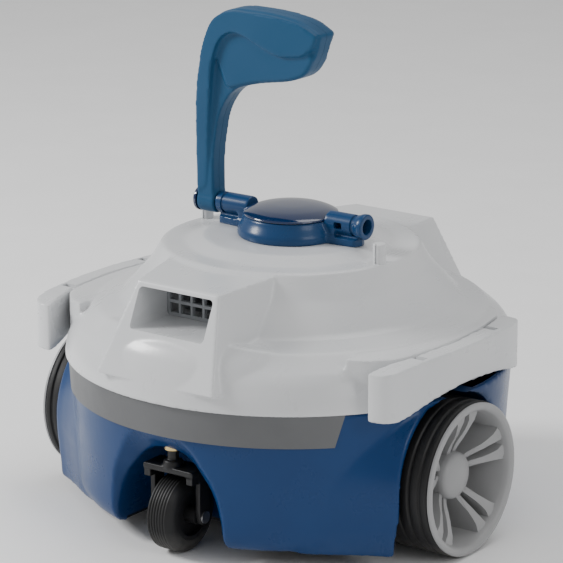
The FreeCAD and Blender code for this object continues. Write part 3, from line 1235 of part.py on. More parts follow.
SUB_PARTS = {
    "top_cover": top_cover,
    "manifold": manifold,
    "diverter_flap": diverter_flap,
    "stop_pegs": stop_pegs,
    "nozzle_grilles": nozzle_grilles,
    "latch_pins": latch_pins,
    "stub_axles": stub_axles,
    "axle_clips": axle_clips,
    "caster_bushes": caster_bushes,
    "turret_body": turret_body,
    "turret_cap": turret_cap,
    "turret_screw": turret_screw,
    "handle_pivot": handle_pivot,
    "handle_front_half": lambda: handle_half(True),
    "handle_rear_half": lambda: handle_half(False),
    "float_core": float_core,
    "lower_shell": lower_shell,
    "bumper_strip": bumper_strip,
    "floor_pan": floor_pan,
    "pan_screws": pan_screws,
    "suction_lips": suction_lips,
    "filter_tray": filter_tray,
    "filter_screen": filter_screen,
    "filter_mesh": filter_mesh,
    "intake_flap": intake_flap,
    "pod_case": pod_case,
    "pod_lid": pod_lid,
    "shaft_seal": shaft_seal,
    "lid_gasket": lid_gasket,
    "lid_screws": lid_screws,
    "motor": motor,
    "battery_cells": battery_cells,
    "control_board": control_board,
    "impeller": impeller,
    "pump_riser": pump_riser,
    "control_panel": control_panel,
    "charging_socket": charging_socket,
    "charging_pin": charging_pin,
    "socket_flap": socket_flap,
    "power_button": power_button,
    "switch_block": switch_block,
}
for _side, _sign in SIDES.items():
    SUB_PARTS["side_latch_" + _side] = lambda s=_sign: side_latch(s)
    SUB_PARTS["wheel_hub_" + _side] = lambda s=_sign: wheel_hub(s)
    SUB_PARTS["tyre_" + _side] = lambda s=_sign: tyre(s)
    SUB_PARTS["wheel_bushes_" + _side] = lambda s=_sign: wheel_bushes(s)
for _end, _sign in ENDS.items():
    SUB_PARTS["caster_fork_" + _end] = lambda s=_sign: caster_fork(s)
    SUB_PARTS["caster_clip_" + _end] = lambda s=_sign: caster_clip(s)
    SUB_PARTS["caster_axle_" + _end] = lambda s=_sign: caster_axle(s)
    SUB_PARTS["caster_tyre_" + _end] = lambda s=_sign: caster_tyre(s)
    SUB_PARTS["caster_core_" + _end] = lambda s=_sign: caster_core(s)

os.makedirs("parts", exist_ok=True)
for name, make in SUB_PARTS.items():
    shape = make()
    shape.exportStep("parts/" + name + ".step")
    solids = shape.Solids
    valid = all(s.isValid() for s in solids)
    print(name, "solids", len(solids), "valid", valid, "volume", round(shape.Volume / 1000, 2), "cm3")
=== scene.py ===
"""Visual model of a cordless pool-floor cleaning robot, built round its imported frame.

Metres, +Z up, the front nozzle faces -Y and the side wheels stand on the X sides. Each class below is a
sub-assembly that models its pieces in millimetres and hands them over in metres.
"""

import json
import logging
import math
from dataclasses import dataclass
from enum import Enum
from typing import Callable, Iterable, List, Sequence, Tuple

import bmesh
import bpy
from mathutils import Matrix, Vector


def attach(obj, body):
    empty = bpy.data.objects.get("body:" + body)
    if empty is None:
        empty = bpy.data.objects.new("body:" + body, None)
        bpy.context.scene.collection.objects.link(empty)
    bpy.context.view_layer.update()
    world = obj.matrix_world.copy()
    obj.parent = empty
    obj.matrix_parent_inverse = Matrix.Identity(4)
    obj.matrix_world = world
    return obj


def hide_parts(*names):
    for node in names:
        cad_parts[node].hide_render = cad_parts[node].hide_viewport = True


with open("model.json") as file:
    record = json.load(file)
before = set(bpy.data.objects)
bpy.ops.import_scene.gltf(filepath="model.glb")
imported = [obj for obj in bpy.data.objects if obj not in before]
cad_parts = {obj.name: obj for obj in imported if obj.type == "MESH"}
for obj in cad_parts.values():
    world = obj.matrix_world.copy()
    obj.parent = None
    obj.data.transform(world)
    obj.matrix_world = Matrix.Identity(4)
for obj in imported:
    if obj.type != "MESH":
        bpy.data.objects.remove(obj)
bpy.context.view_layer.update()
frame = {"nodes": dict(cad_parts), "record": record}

MM = 0.001
LOG = logging.getLogger("pool_cleaner")
Point = Tuple[float, float, float]
Flat = Tuple[float, float]
Colour = Tuple[float, float, float]


class Side(Enum):
    """A side wheel's side, as the sign of its X."""

    RIGHT = 1
    LEFT = -1

    @property
    def label(self) -> str:
        """The side's name as the nodes spell it."""
        return self.name.lower()


class End(Enum):
    """The front or rear end, as the sign of its Y."""

    FRONT = -1
    REAR = 1

    @property
    def label(self) -> str:
        """The end's name as the nodes spell it."""
        return self.name.lower()


# ---------------------------------------------------------------- finishes
@dataclass(frozen=True)
class Finish:
    """A moulded or turned surface: two close tones, a grain, fine scuffs and a clear coat."""

    name: str
    tone: Colour
    second_tone: Colour
    roughness: float = 0.35
    roughness_swing: float = 0.12
    grain_scale: float = 900.0
    grain_height: float = 0.00002
    metallic: float = 0.0
    coat: float = 0.0
    coat_roughness: float = 0.15
    specular: float = 0.4
    scuffs: float = 0.25
    dust: float = 0.0
    dust_top: float = 0.03

    def material(self) -> bpy.types.Material:
        """Builds the finish's node tree once and returns its material."""
        full_name = "finish_" + self.name
        known = bpy.data.materials.get(full_name)
        if known:
            return known
        mat = bpy.data.materials.new(full_name)
        mat.use_nodes = True
        tree = mat.node_tree
        shader = tree.nodes["Principled BSDF"]
        shader.inputs["Metallic"].default_value = self.metallic
        shader.inputs["Coat Weight"].default_value = self.coat
        shader.inputs["Specular IOR Level"].default_value = self.specular
        shader.inputs["Coat Roughness"].default_value = self.coat_roughness
        place = tree.nodes.new("ShaderNodeTexCoord").outputs["Object"]
        cloud = self._noise(tree, place, 14.0, 4.0)
        tint = self._mix(tree, cloud, self.tone, self.second_tone)
        tree.links.new(self._dusted(tree, place, tint), shader.inputs["Base Color"])
        tree.links.new(self._roughness(tree, place), shader.inputs["Roughness"])
        tree.links.new(self._bump(tree, place), shader.inputs["Normal"])
        return mat

    def _noise(self, tree: bpy.types.NodeTree, place: bpy.types.NodeSocket, scale: float,
               detail: float) -> bpy.types.NodeSocket:
        """Adds a noise texture.

        Args:
            tree: the material's nodes.
            place: coordinates to read.
            scale: features per metre.
            detail: octaves.

        Returns:
            The noise's factor.
        """
        node = tree.nodes.new("ShaderNodeTexNoise")
        node.inputs["Scale"].default_value = scale
        node.inputs["Detail"].default_value = detail
        tree.links.new(place, node.inputs["Vector"])
        return node.outputs["Fac"]

    def _mix(self, tree: bpy.types.NodeTree, factor: bpy.types.NodeSocket, one: Colour,
             two: Colour) -> bpy.types.NodeSocket:
        """Blends two tones by a factor and returns the colour.

        Args:
            tree: the material's nodes.
            factor: what blends them.
            one: first tone.
            two: second tone.
        """
        ramp = tree.nodes.new("ShaderNodeValToRGB")
        ramp.color_ramp.elements[0].position = 0.35
        ramp.color_ramp.elements[1].position = 0.65
        ramp.color_ramp.elements[0].color = (*one, 1.0)
        ramp.color_ramp.elements[1].color = (*two, 1.0)
        tree.links.new(factor, ramp.inputs["Fac"])
        return ramp.outputs["Color"]

    def _dusted(self, tree: bpy.types.NodeTree, place: bpy.types.NodeSocket,
                tint: bpy.types.NodeSocket) -> bpy.types.NodeSocket:
        """Adds a little pale dust near the ground, broken up by noise.

        Args:
            tree: the material's nodes.
            place: where it is read or put.
            tint: the colour under the dust.

        Returns:
            The output socket.
        """
        if self.dust <= 0:
            return tint
        split = tree.nodes.new("ShaderNodeSeparateXYZ")
        tree.links.new(place, split.inputs[0])
        height = tree.nodes.new("ShaderNodeMapRange")
        height.inputs["From Min"].default_value = 0.0
        height.inputs["From Max"].default_value = self.dust_top
        height.inputs["To Min"].default_value = self.dust
        height.inputs["To Max"].default_value = 0.0
        tree.links.new(split.outputs["Z"], height.inputs["Value"])
        broken = tree.nodes.new("ShaderNodeMath")
        broken.operation = "MULTIPLY"
        tree.links.new(height.outputs[0], broken.inputs[0])
        tree.links.new(self._noise(tree, place, 160.0, 6.0), broken.inputs[1])
        mix = tree.nodes.new("ShaderNodeMix")
        mix.data_type = "RGBA"
        colour_in = [s for s in mix.inputs if s.name == "A" and s.type == "RGBA"][0]
        dust_in = [s for s in mix.inputs if s.name == "B" and s.type == "RGBA"][0]
        dust_in.default_value = (0.5, 0.48, 0.44, 1.0)
        tree.links.new(broken.outputs[0], mix.inputs[0])
        tree.links.new(tint, colour_in)
        return [s for s in mix.outputs if s.type == "RGBA"][0]

    def _roughness(self, tree: bpy.types.NodeTree, place: bpy.types.NodeSocket) -> bpy.types.NodeSocket:
        """Roughness that drifts slowly over the surface and rises along fine scuffs.

        Args:
            tree: the material's nodes.
            place: where it is read or put.

        Returns:
            The output socket.
        """
        stretch = tree.nodes.new("ShaderNodeMapping")
        stretch.inputs["Scale"].default_value = (1.0, 0.12, 0.6)
        stretch.inputs["Rotation"].default_value = (0.3, 0.2, 0.7)
        tree.links.new(place, stretch.inputs["Vector"])
        scuff = self._noise(tree, stretch.outputs[0], 420.0, 8.0)
        cloud = self._noise(tree, place, 30.0, 5.0)
        both = tree.nodes.new("ShaderNodeMath")
        both.operation = "MULTIPLY_ADD"
        both.inputs[1].default_value = self.scuffs
        tree.links.new(scuff, both.inputs[0])
        tree.links.new(cloud, both.inputs[2])
        spread = tree.nodes.new("ShaderNodeMapRange")
        spread.inputs["From Min"].default_value = 0.35
        spread.inputs["From Max"].default_value = 0.85
        spread.inputs["To Min"].default_value = max(self.roughness - self.roughness_swing, 0.03)
        spread.inputs["To Max"].default_value = self.roughness + self.roughness_swing
        tree.links.new(both.outputs[0], spread.inputs["Value"])
        return spread.outputs[0]

    def _bump(self, tree: bpy.types.NodeTree, place: bpy.types.NodeSocket) -> bpy.types.NodeSocket:
        """The moulding's fine grain as a bump.

        Args:
            tree: the material's nodes.
            place: where it is read or put.

        Returns:
            The output socket.
        """
        bump = tree.nodes.new("ShaderNodeBump")
        bump.inputs["Strength"].default_value = 0.5
        bump.inputs["Distance"].default_value = self.grain_height
        tree.links.new(self._noise(tree, place, self.grain_scale, 3.0), bump.inputs["Height"])
        return bump.outputs["Normal"]


COVER_WHITE = Finish("cover_white", (0.62, 0.632, 0.645), (0.655, 0.662, 0.67), 0.30, 0.07, coat=0.25,
                     scuffs=0.2)
SHELL_BLUE = Finish("shell_blue", (0.004, 0.034, 0.125), (0.005, 0.04, 0.14), 0.3, 0.07, coat=0.1,
                    specular=0.2, dust=0.05)
TURRET_BLUE = Finish("turret_blue", (0.006, 0.042, 0.125), (0.0075, 0.048, 0.135), 0.28, 0.07, coat=0.15,
                     specular=0.25)
CAP_BLUE = Finish("cap_blue", (0.0025, 0.014, 0.06), (0.0035, 0.018, 0.07), 0.12, 0.05, coat=1.0,
                  coat_roughness=0.06,
                  grain_height=0.000008)
HANDLE_BLUE = Finish("handle_blue", (0.018, 0.072, 0.15), (0.021, 0.08, 0.165), 0.4, 0.08, specular=0.12,
                     grain_height=0.00003)
BAND_GREY = Finish("band_grey", (0.105, 0.108, 0.112), (0.125, 0.128, 0.132), 0.5, 0.1,
                   grain_height=0.00006)
HUB_GREY = Finish("hub_grey", (0.31, 0.312, 0.317), (0.345, 0.347, 0.352), 0.36, 0.1, grain_height=0.00003,
                  dust=0.1,
                  dust_top=0.06)
TYRE_BLACK = Finish("tyre_black", (0.006, 0.006, 0.0065), (0.01, 0.01, 0.0105), 0.55, 0.14, 700.0, 0.0001,
                    dust=0.25,
                    dust_top=0.02)
SOFT_BLACK = Finish("soft_black", (0.007, 0.007, 0.008), (0.012, 0.012, 0.013), 0.42, 0.12,
                    grain_height=0.00005)
INNER_GREY = Finish("inner_grey", (0.3, 0.32, 0.34), (0.35, 0.365, 0.38), 0.45, 0.1)
STEEL = Finish("turned_steel", (0.52, 0.52, 0.54), (0.6, 0.6, 0.61), 0.28, 0.1, 1500.0, 0.00001,
               metallic=1.0)
BRASS = Finish("turned_brass", (0.62, 0.46, 0.2), (0.7, 0.53, 0.25), 0.3, 0.1, 1500.0, 0.00001,
               metallic=1.0)
CELL_WRAP = Finish("cell_wrap", (0.03, 0.16, 0.12), (0.035, 0.18, 0.14), 0.25, 0.08, coat=0.4)
BOARD = Finish("board_lacquer", (0.02, 0.13, 0.05), (0.03, 0.16, 0.06), 0.3, 0.1, 2500.0, 0.00004)
FOAM = Finish("closed_foam", (0.62, 0.61, 0.57), (0.7, 0.69, 0.65), 0.85, 0.08, 1400.0, 0.0003)
MESH_CLOTH = Finish("mesh_cloth", (0.6, 0.62, 0.64), (0.72, 0.73, 0.74), 0.7, 0.1, 2600.0, 0.0003)

SLOT_FINISH = {
    "white_cover": COVER_WHITE, "blue_shell": SHELL_BLUE, "turret_blue": TURRET_BLUE,
    "handle_blue": HANDLE_BLUE,
    "band_grey": BAND_GREY, "hub_grey": HUB_GREY, "tyre_black": TYRE_BLACK, "black_plastic": SOFT_BLACK,
    "clear_grey": INNER_GREY, "rubber_black": TYRE_BLACK, "steel": STEEL, "brass": BRASS,
    "motor_can": STEEL,
    "cell_wrap": CELL_WRAP, "board_green": BOARD, "foam": FOAM, "mesh": MESH_CLOTH,
}


# ---------------------------------------------------------------- mesh work
def metres(point: Sequence[float]) -> Vector:
    """A point given in millimetres, in metres.

    Args:
        point: the point, in millimetres.

    Returns:
        The point.
    """
    return Vector(point) * MM


def piece_from(name: str, mesh: bmesh.types.BMesh) -> bpy.types.Object:
    """Turns a bmesh in metres into an object at the origin.

    Args:
        name: the piece's name.
        mesh: the shape, which is freed.

    Returns:
        The new object, smooth shaded.
    """
    data = bpy.data.meshes.new(name)
    bmesh.ops.recalc_face_normals(mesh, faces=mesh.faces[:])
    mesh.to_mesh(data)
    mesh.free()
    data.shade_smooth()
    made = bpy.data.objects.new(name, data)
    bpy.context.scene.collection.objects.link(made)
    return made


def settle(piece: bpy.types.Object) -> bpy.types.Object:
    """Applies every modifier of a piece to its mesh.

    Args:
        piece: the piece to work on.

    Returns:
        The piece.
    """
    graph = bpy.context.evaluated_depsgraph_get()
    graph.update()
    data = bpy.data.meshes.new_from_object(piece.evaluated_get(graph))
    piece.modifiers.clear()
    old = piece.data
    piece.data = data
    bpy.data.meshes.remove(old)
    return piece


def cut_away(piece: bpy.types.Object, cutters: Iterable[bpy.types.Object]) -> bpy.types.Object:
    """Cuts solids out of a piece and removes them.

    Args:
        piece: the piece to work on.
        cutters: solids to take away.

    Returns:
        The piece.
    """
    for cutter in cutters:
        tool = piece.modifiers.new("cut", "BOOLEAN")
        tool.operation = "DIFFERENCE"
        tool.solver = "MANIFOLD"
        tool.object = cutter
        settle(piece)
        bpy.data.objects.remove(cutter)
    return piece


def kept_inside(piece: bpy.types.Object, room: bpy.types.Object) -> bpy.types.Object:
    """Keeps the part of a piece that lies in another solid, which is removed.

    Args:
        piece: the piece to work on.
        room: the solid to stay in.

    Returns:
        The piece.
    """
    tool = piece.modifiers.new("keep", "BOOLEAN")
    tool.operation = "INTERSECT"
    tool.solver = "MANIFOLD"
    tool.object = room
    settle(piece)
    bpy.data.objects.remove(room)
    return piece


def gathered(name: str, solids: Sequence[bpy.types.Object]) -> bpy.types.Object:
    """Puts several closed solids in one object, still overlapping.

    Args:
        name: the piece's name.
        solids: closed solids to join.

    Returns:
        The piece.
    """
    mesh = bmesh.new()
    for solid in solids:
        mesh.from_mesh(solid.data)
        bpy.data.objects.remove(solid)
    data = bpy.data.meshes.new(name)
    mesh.to_mesh(data)
    mesh.free()
    made = bpy.data.objects.new(name, data)
    bpy.context.scene.collection.objects.link(made)
    return made


def moulded(piece: bpy.types.Object, grid_mm: float, rounds: int) -> bpy.types.Object:
    """Fuses a piece's overlapping solids and eases every edge, as a mould does.

    Args:
        piece: one or more closed solids in one object.
        grid_mm: size of the fusing grid.
        rounds: how many times the surface is smoothed.

    Returns:
        The same object with its new skin.
    """
    fuse = piece.modifiers.new("fuse", "REMESH")
    fuse.mode = "VOXEL"
    fuse.voxel_size = grid_mm * MM
    fuse.use_smooth_shade = True
    settle(piece)
    ease = piece.modifiers.new("ease", "SMOOTH")
    ease.factor = 0.5
    ease.iterations = rounds
    return settle(piece)


def outline(mesh: bmesh.types.BMesh, points: Sequence[Point], reaches: Sequence[float],
            steps: int = 6) -> bmesh.types.BMFace:
    """Draws a closed flat outline and rounds its corners.

    Args:
        mesh: where it goes.
        points: its corners in millimetres, in order.
        reaches: how far each corner's rounding reaches along its sides, in millimetres.
        steps: segments of each rounding.

    Returns:
        The outline's face.
    """
    corners = [mesh.verts.new(metres(p)) for p in points]
    mesh.faces.new(corners)
    for corner, reach in zip(corners, reaches):
        if reach > 0:
            bmesh.ops.bevel(mesh, geom=[corner], offset=reach * MM, segments=steps, profile=0.5,
                            affect="VERTICES", material=-1)
    return mesh.faces[:][0]


def prism(name: str, points: Sequence[Point], reaches: Sequence[float], push: Point,
          steps: int = 6) -> bpy.types.Object:
    """A closed outline pushed along a direction into a solid.

    Args:
        name: the piece's name.
        points: corners in millimetres.
        reaches: how far each corner is rounded, in millimetres.
        push: how far and which way, in millimetres.
        steps: segments.

    Returns:
        The piece.
    """
    mesh = bmesh.new()
    face = outline(mesh, points, reaches, steps)
    pushed = bmesh.ops.extrude_face_region(mesh, geom=[face], use_keep_orig=True)
    moved = [item for item in pushed["geom"] if isinstance(item, bmesh.types.BMVert)]
    bmesh.ops.translate(mesh, verts=moved, vec=metres(push))
    return piece_from(name, mesh)


def turned(name: str, profile: Sequence[Flat], reaches: Sequence[float], steps: int = 128,
           axis: str = "Z", centre: Point = (0.0, 0.0, 0.0), corner_steps: int = 6) -> bpy.types.Object:
    """A closed profile of (radius, height) pairs, with rounded corners, spun into a solid.

    Args:
        name: the piece's name.
        profile: corners in millimetres, closed.
        reaches: rounding of each corner in millimetres.
        steps: faces round the full turn.
        axis: X, Y or Z, the way the heights run.
        centre: the axis's place in millimetres.
        corner_steps: segments of each rounding.

    Returns:
        The turned solid.
    """
    mesh = bmesh.new()
    outline(mesh, [(r, 0.0, h) for r, h in profile], reaches, corner_steps)
    bmesh.ops.delete(mesh, geom=mesh.faces[:], context="FACES_ONLY")
    bmesh.ops.spin(mesh, geom=mesh.verts[:] + mesh.edges[:], cent=(0, 0, 0), axis=(0, 0, 1),
                   angle=math.tau, steps=steps, use_merge=True, use_duplicate=False)
    bmesh.ops.remove_doubles(mesh, verts=mesh.verts[:], dist=0.00001)
    bmesh.ops.delete(mesh, geom=[e for e in mesh.edges if not e.link_faces], context="EDGES")
    turn = {"X": Matrix.Rotation(math.pi / 2, 4, "Y"), "Y": Matrix.Rotation(-math.pi / 2, 4, "X"),
            "Z": Matrix.Identity(4)}[axis]
    bmesh.ops.transform(mesh, matrix=Matrix.Translation(metres(centre)) @ turn, verts=mesh.verts[:])
    return piece_from(name, mesh)


def drum(name: str, radius: float, length: float, start: Point, axis: str = "Z",
         steps: int = 96) -> bpy.types.Object:
    """A plain round solid from start along an axis, for cutting or fusing.

    Args:
        name: the piece's name.
        radius: radius in millimetres.
        length: length in millimetres.
        start: where its axis starts.
        axis: X, Y or Z.
        steps: segments.

    Returns:
        The piece.
    """
    return turned(name, [(0, 0), (radius, 0), (radius, length), (0, length)], [0, 0, 0, 0], steps, axis,
                  start)


def brick(name: str, low: Point, high: Point, ease: float = 0.0) -> bpy.types.Object:
    """A box between two corners in millimetres, with optional eased edges.

    Args:
        name: the piece's name.
        low: the low corner or value.
        high: the high corner or value.
        ease: edge rounding in millimetres.

    Returns:
        The piece.
    """
    mesh = bmesh.new()
    size = Vector(high) - Vector(low)
    middle = (Vector(high) + Vector(low)) / 2
    bmesh.ops.create_cube(mesh, size=1.0, matrix=Matrix.Translation(metres(middle)) @ Matrix.Diagonal(
        (*[abs(v) * MM for v in size], 1.0)))
    if ease > 0:
        bmesh.ops.bevel(mesh, geom=mesh.edges[:], offset=ease * MM, segments=4, profile=0.5, affect="EDGES",
                        material=-1)
    return piece_from(name, mesh)


def bridged(name: str, loops: Sequence[Sequence[Point]], reaches: Sequence[float]) -> bpy.types.Object:
    """A closed solid through two or more outlines that have the same corners.

    Args:
        name: the piece's name.
        loops: outlines in order.
        reaches: how far each corner is rounded, in millimetres.

    Returns:
        The piece.
    """
    mesh = bmesh.new()
    faces = []
    for loop in loops:
        part = bmesh.new()
        outline(part, loop, reaches)
        data = bpy.data.meshes.new("loop")
        part.to_mesh(data)
        part.free()
        before = set(mesh.faces)
        mesh.from_mesh(data)
        bpy.data.meshes.remove(data)
        faces += [f for f in mesh.faces if f not in before]
    for one, two in zip(faces, faces[1:]):
        bmesh.ops.bridge_loops(mesh, edges=list(one.edges) + list(two.edges))
    for inner in faces[1:-1]:
        bmesh.ops.delete(mesh, geom=[inner], context="FACES_ONLY")
    return piece_from(name, mesh)


def mirrored(piece: bpy.types.Object, name: str, flip: Point) -> bpy.types.Object:
    """A copy of a piece, mirrored by the signs in flip.

    Args:
        piece: the piece to work on.
        name: the piece's name.
        flip: a sign for each axis.

    Returns:
        The piece.
    """
    mesh = bmesh.new()
    mesh.from_mesh(piece.data)
    bmesh.ops.scale(mesh, vec=Vector(flip), verts=mesh.verts[:])
    return piece_from(name, mesh)


def reshape(piece: bpy.types.Object, rule: Callable[[Vector], Vector]) -> bpy.types.Object:
    """Moves each point of a piece by a rule that works in millimetres.

    Args:
        piece: the piece to work on.
        rule: what moves a point.

    Returns:
        The piece.
    """
    for vert in piece.data.vertices:
        vert.co = rule(vert.co / MM) * MM
    piece.data.update()
    return piece


def ramp(value: float, low: float, high: float) -> float:
    """A smooth step from 0 at low to 1 at high.

    Args:
        value: the value.
        low: the low corner or value.
        high: the high corner or value.

    Returns:
        A number from 0 to 1.
    """
    t = min(max((value - low) / (high - low), 0.0), 1.0)
    return t * t * (3 - 2 * t)


def dress(piece: bpy.types.Object, finish: Finish, body: str, nodes: Sequence[str]) -> None:
    """Gives a piece its finish, body and CAD nodes, and reports it.

    Args:
        piece: the piece to work on.
        finish: its finish.
        body: the body it rides on.
        nodes: CAD nodes that it replaces.
    """
    piece.data.materials.clear()
    piece.data.materials.append(finish.material())
    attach(piece, body)
    if nodes:
        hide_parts(*nodes)
    LOG.info("%s: %d faces on %s", piece.name, len(piece.data.polygons), body)


# ---------------------------------------------------------------- cover
@dataclass
class Cover:
    """White dome with its nozzle hoods, aprons and latch shoulders."""

    rim_r: float = 157.5
    rim_z: float = 110.7
    wall: float = 3.0
    mouth_half_w: float = 31.0
    floor_z: float = 153.5
    roof_z: float = 180.5
    duct_end_y: float = 82.3
    grid: float = 1.3
    axle: Flat = (-21.0, 53.5)
    wheel_room_r: float = 66.4
    wheel_room_x: float = 108.6

    def dome(self, name: str, inset: float) -> bpy.types.Object:
        """The dome as a solid, moved inwards by inset.

        Args:
            name: the piece's name.
            inset: how far inwards, in millimetres.

        Returns:
            The piece.
        """
        i = inset
        floor = self.rim_z - (2.0 if inset else 0.0)
        profile = [(0, 194 - i), (60, 194 - i), (73, 189.5 - i), (89.5 - i / 2, 189.5 - i),
                   (99 - i, 173.5 - i / 2),
                   (118 - i, 152.5 - i / 2), (135 - i / 2, 147.5 - i), (151 - i, 134), (156.5 - i, 120),
                   (self.rim_r - i, floor), (0, floor)]
        return turned(name, profile, [0, 2, 2, 1.5, 2.5, 3, 2, 5, 5, 0, 0], 160)

    def hood(self) -> bpy.types.Object:
        """The front hood: a sloping roof on flared sides, down to the apron."""
        def ring(half_back: float, half_front: float, y_back: float, y_front: float, z_back: float,
                 z_front: float) -> List[Point]:
            """Four corners of the hood at one level.

            Args:
                half_back: half width at the back.
                half_front: half width at the front.
                y_back: depth of the back.
                y_front: depth of the front.
                z_back: height of the back.
                z_front: height of the front.

            Returns:
                The corners.
            """
            return [(-half_back, y_back, z_back), (half_back, y_back, z_back),
                    (half_front, y_front, z_front),
                    (-half_front, y_front, z_front)]
        top = ring(46, 34, -70, -127.5, 188.5, 184)
        low = ring(66, 49, -70, -155, 128, 123)
        return bridged("hood", [low, top], [0, 0, 0, 0])

    def apron(self) -> bpy.types.Object:
        """Convex front below the mouth, which fades into the dome at both sides."""
        profile = [(100, 150), (139.5, 153.5), (149, 144), (154.5, 130), (157.3, 113), (100, 113)]
        piece = turned("apron", profile, [0, 2, 5, 6, 4, 0], 160)

        def fade(p: Vector) -> Vector:
            """Sinks the apron's ends into the dome.

            Args:
                p: a point in millimetres.

            Returns:
                The point.
            """
            off = abs(math.degrees(math.atan2(p.x, -p.y)))
            t = ramp(off, 14, 42)
            radius = math.hypot(p.x, p.y)
            scale = (radius - 9 * t) / radius
            return Vector((p.x * scale, p.y * scale, p.z - 7 * t if p.z > 120 else p.z))
        return reshape(piece, fade)

    def shoulder(self, side: Side) -> bpy.types.Object:
        """Carries the ledge out to the latch's slit.

        Args:
            side: the side it is on.

        Returns:
            The piece.
        """
        points = [(112, -95, 111), (126, -89, 111), (138.5, -74, 111), (142.4, -62, 111), (146.4, -19, 111),
                  (142.4, 24, 111), (138.5, 50, 111), (128, 66, 111), (112, 72, 111)]
        piece = prism("shoulder", [(side.value * x, y, z) for x, y, z in points],
                      [0, 4, 4, 6, 18, 6, 4, 4, 0],
                      (0, 0, 35.3))
        return piece

    def ear(self, side: Side, y: float) -> bpy.types.Object:
        """An ear that carries a latch pin.

        Args:
            side: the side it is on.
            y: depth in millimetres.

        Returns:
            The piece.
        """
        x0, x1 = sorted((side.value * 136, side.value * 152.6))
        return brick("ear", (x0, y - 2.5, 140.1), (x1, y + 2.5, 143.9), 0.8)

    def wheel_room(self, side: Side, grow: float) -> List[bpy.types.Object]:
        """Cutters for the room over a wheel.

        Args:
            side: the side it is on.
            grow: extra clearance in millimetres.

        Returns:
            The pieces.
        """
        x0 = self.wheel_room_x - grow
        start = x0 if side is Side.RIGHT else -x0 - 90
        y, z = self.axle
        radius = self.wheel_room_r + grow
        ends = sorted((side.value * x0, side.value * (x0 + 90)))
        return [drum("room", radius, 90, (start, y, z), "X", 96),
                brick("room", (ends[0], y - radius, -5), (ends[1], y + radius, z))]

    def beside_latch(self, side: Side) -> bpy.types.Object:
        """Cutter for everything outside the cover's face beside a latch.

        Args:
            side: the side it is on.

        Returns:
            The piece.
        """
        points = [(133.2, -103), (142.4, -62), (146.5, -19), (142.4, 24), (133.6, 66), (190, 66),
                  (190, -103)]
        return prism("beside", [(side.value * x, y, 107) for x, y in points], [0, 12, 16, 12, 0, 0, 0],
                     (0, 0, 44))

    def mouth(self, end: End) -> bpy.types.Object:
        """Cutter for a duct's mouth.

        Args:
            end: the end it is at.

        Returns:
            The piece.
        """
        ys = sorted((end.value * 170, end.value * (self.duct_end_y - 3)))
        half = self.mouth_half_w
        piece = brick("mouth", (-half, ys[0], self.floor_z), (half, ys[1], self.roof_z), 3.0)
        return piece

    def inner(self) -> bpy.types.Object:
        """Cutter for the hollow under the dome, clear of the ducts' linings and the wheel rooms."""
        hollow = self.dome("hollow", self.wall)
        linings = [brick("lining", (-36, min(end.value * 81.9, end.value * 170), self.floor_z - 3),
                         (36, max(end.value * 81.9, end.value * 170), 200)) for end in End]
        rooms = [cutter for side in Side for cutter in self.wheel_room(side, self.wall)]
        sides = [reshape(self.beside_latch(side),
                         lambda p: Vector((p.x - math.copysign(3.0, p.x), p.y, p.z)))
                 for side in Side]
        return cut_away(hollow, linings + rooms + sides)

    def build(self) -> None:
        """Models and dresses the cover."""
        front = [self.hood(), self.apron()]
        rear = [mirrored(front[0], "hood_rear", (-1, -1, 1))]
        solids = [self.dome("dome", 0.0)] + front + rear + [self.shoulder(side) for side in Side]
        skin = moulded(gathered("cover_shell", solids), self.grid, 2)
        cutters = [self.mouth(end) for end in End]
        cutters += [cutter for side in Side for cutter in self.wheel_room(side, 0.0)]
        cutters += [self.beside_latch(side) for side in Side]
        cutters += [self.inner(), drum("spindle", 9.3, 20, (0, 0, 180))]
        cut_away(skin, cutters)
        floor_cut = brick("below", (-170, -170, 100), (170, 170, self.rim_z + 0.3))
        cut_away(skin, [floor_cut])
        skin = gathered("cover_shell", [skin] + [self.ear(side, y) for side in Side for y in (-62.0, 24.0)])
        skin.data.shade_smooth()
        crease(skin)
        dress(skin, COVER_WHITE, "cover", ["top_cover"])


def crease(piece: bpy.types.Object, degrees: float = 38.0) -> None:
    """Keeps sharp edges sharp in the shading.

    Args:
        piece: the piece to work on.
        degrees: angle above which an edge is sharp.
    """
    piece.data.set_sharp_from_angle(angle=math.radians(degrees))


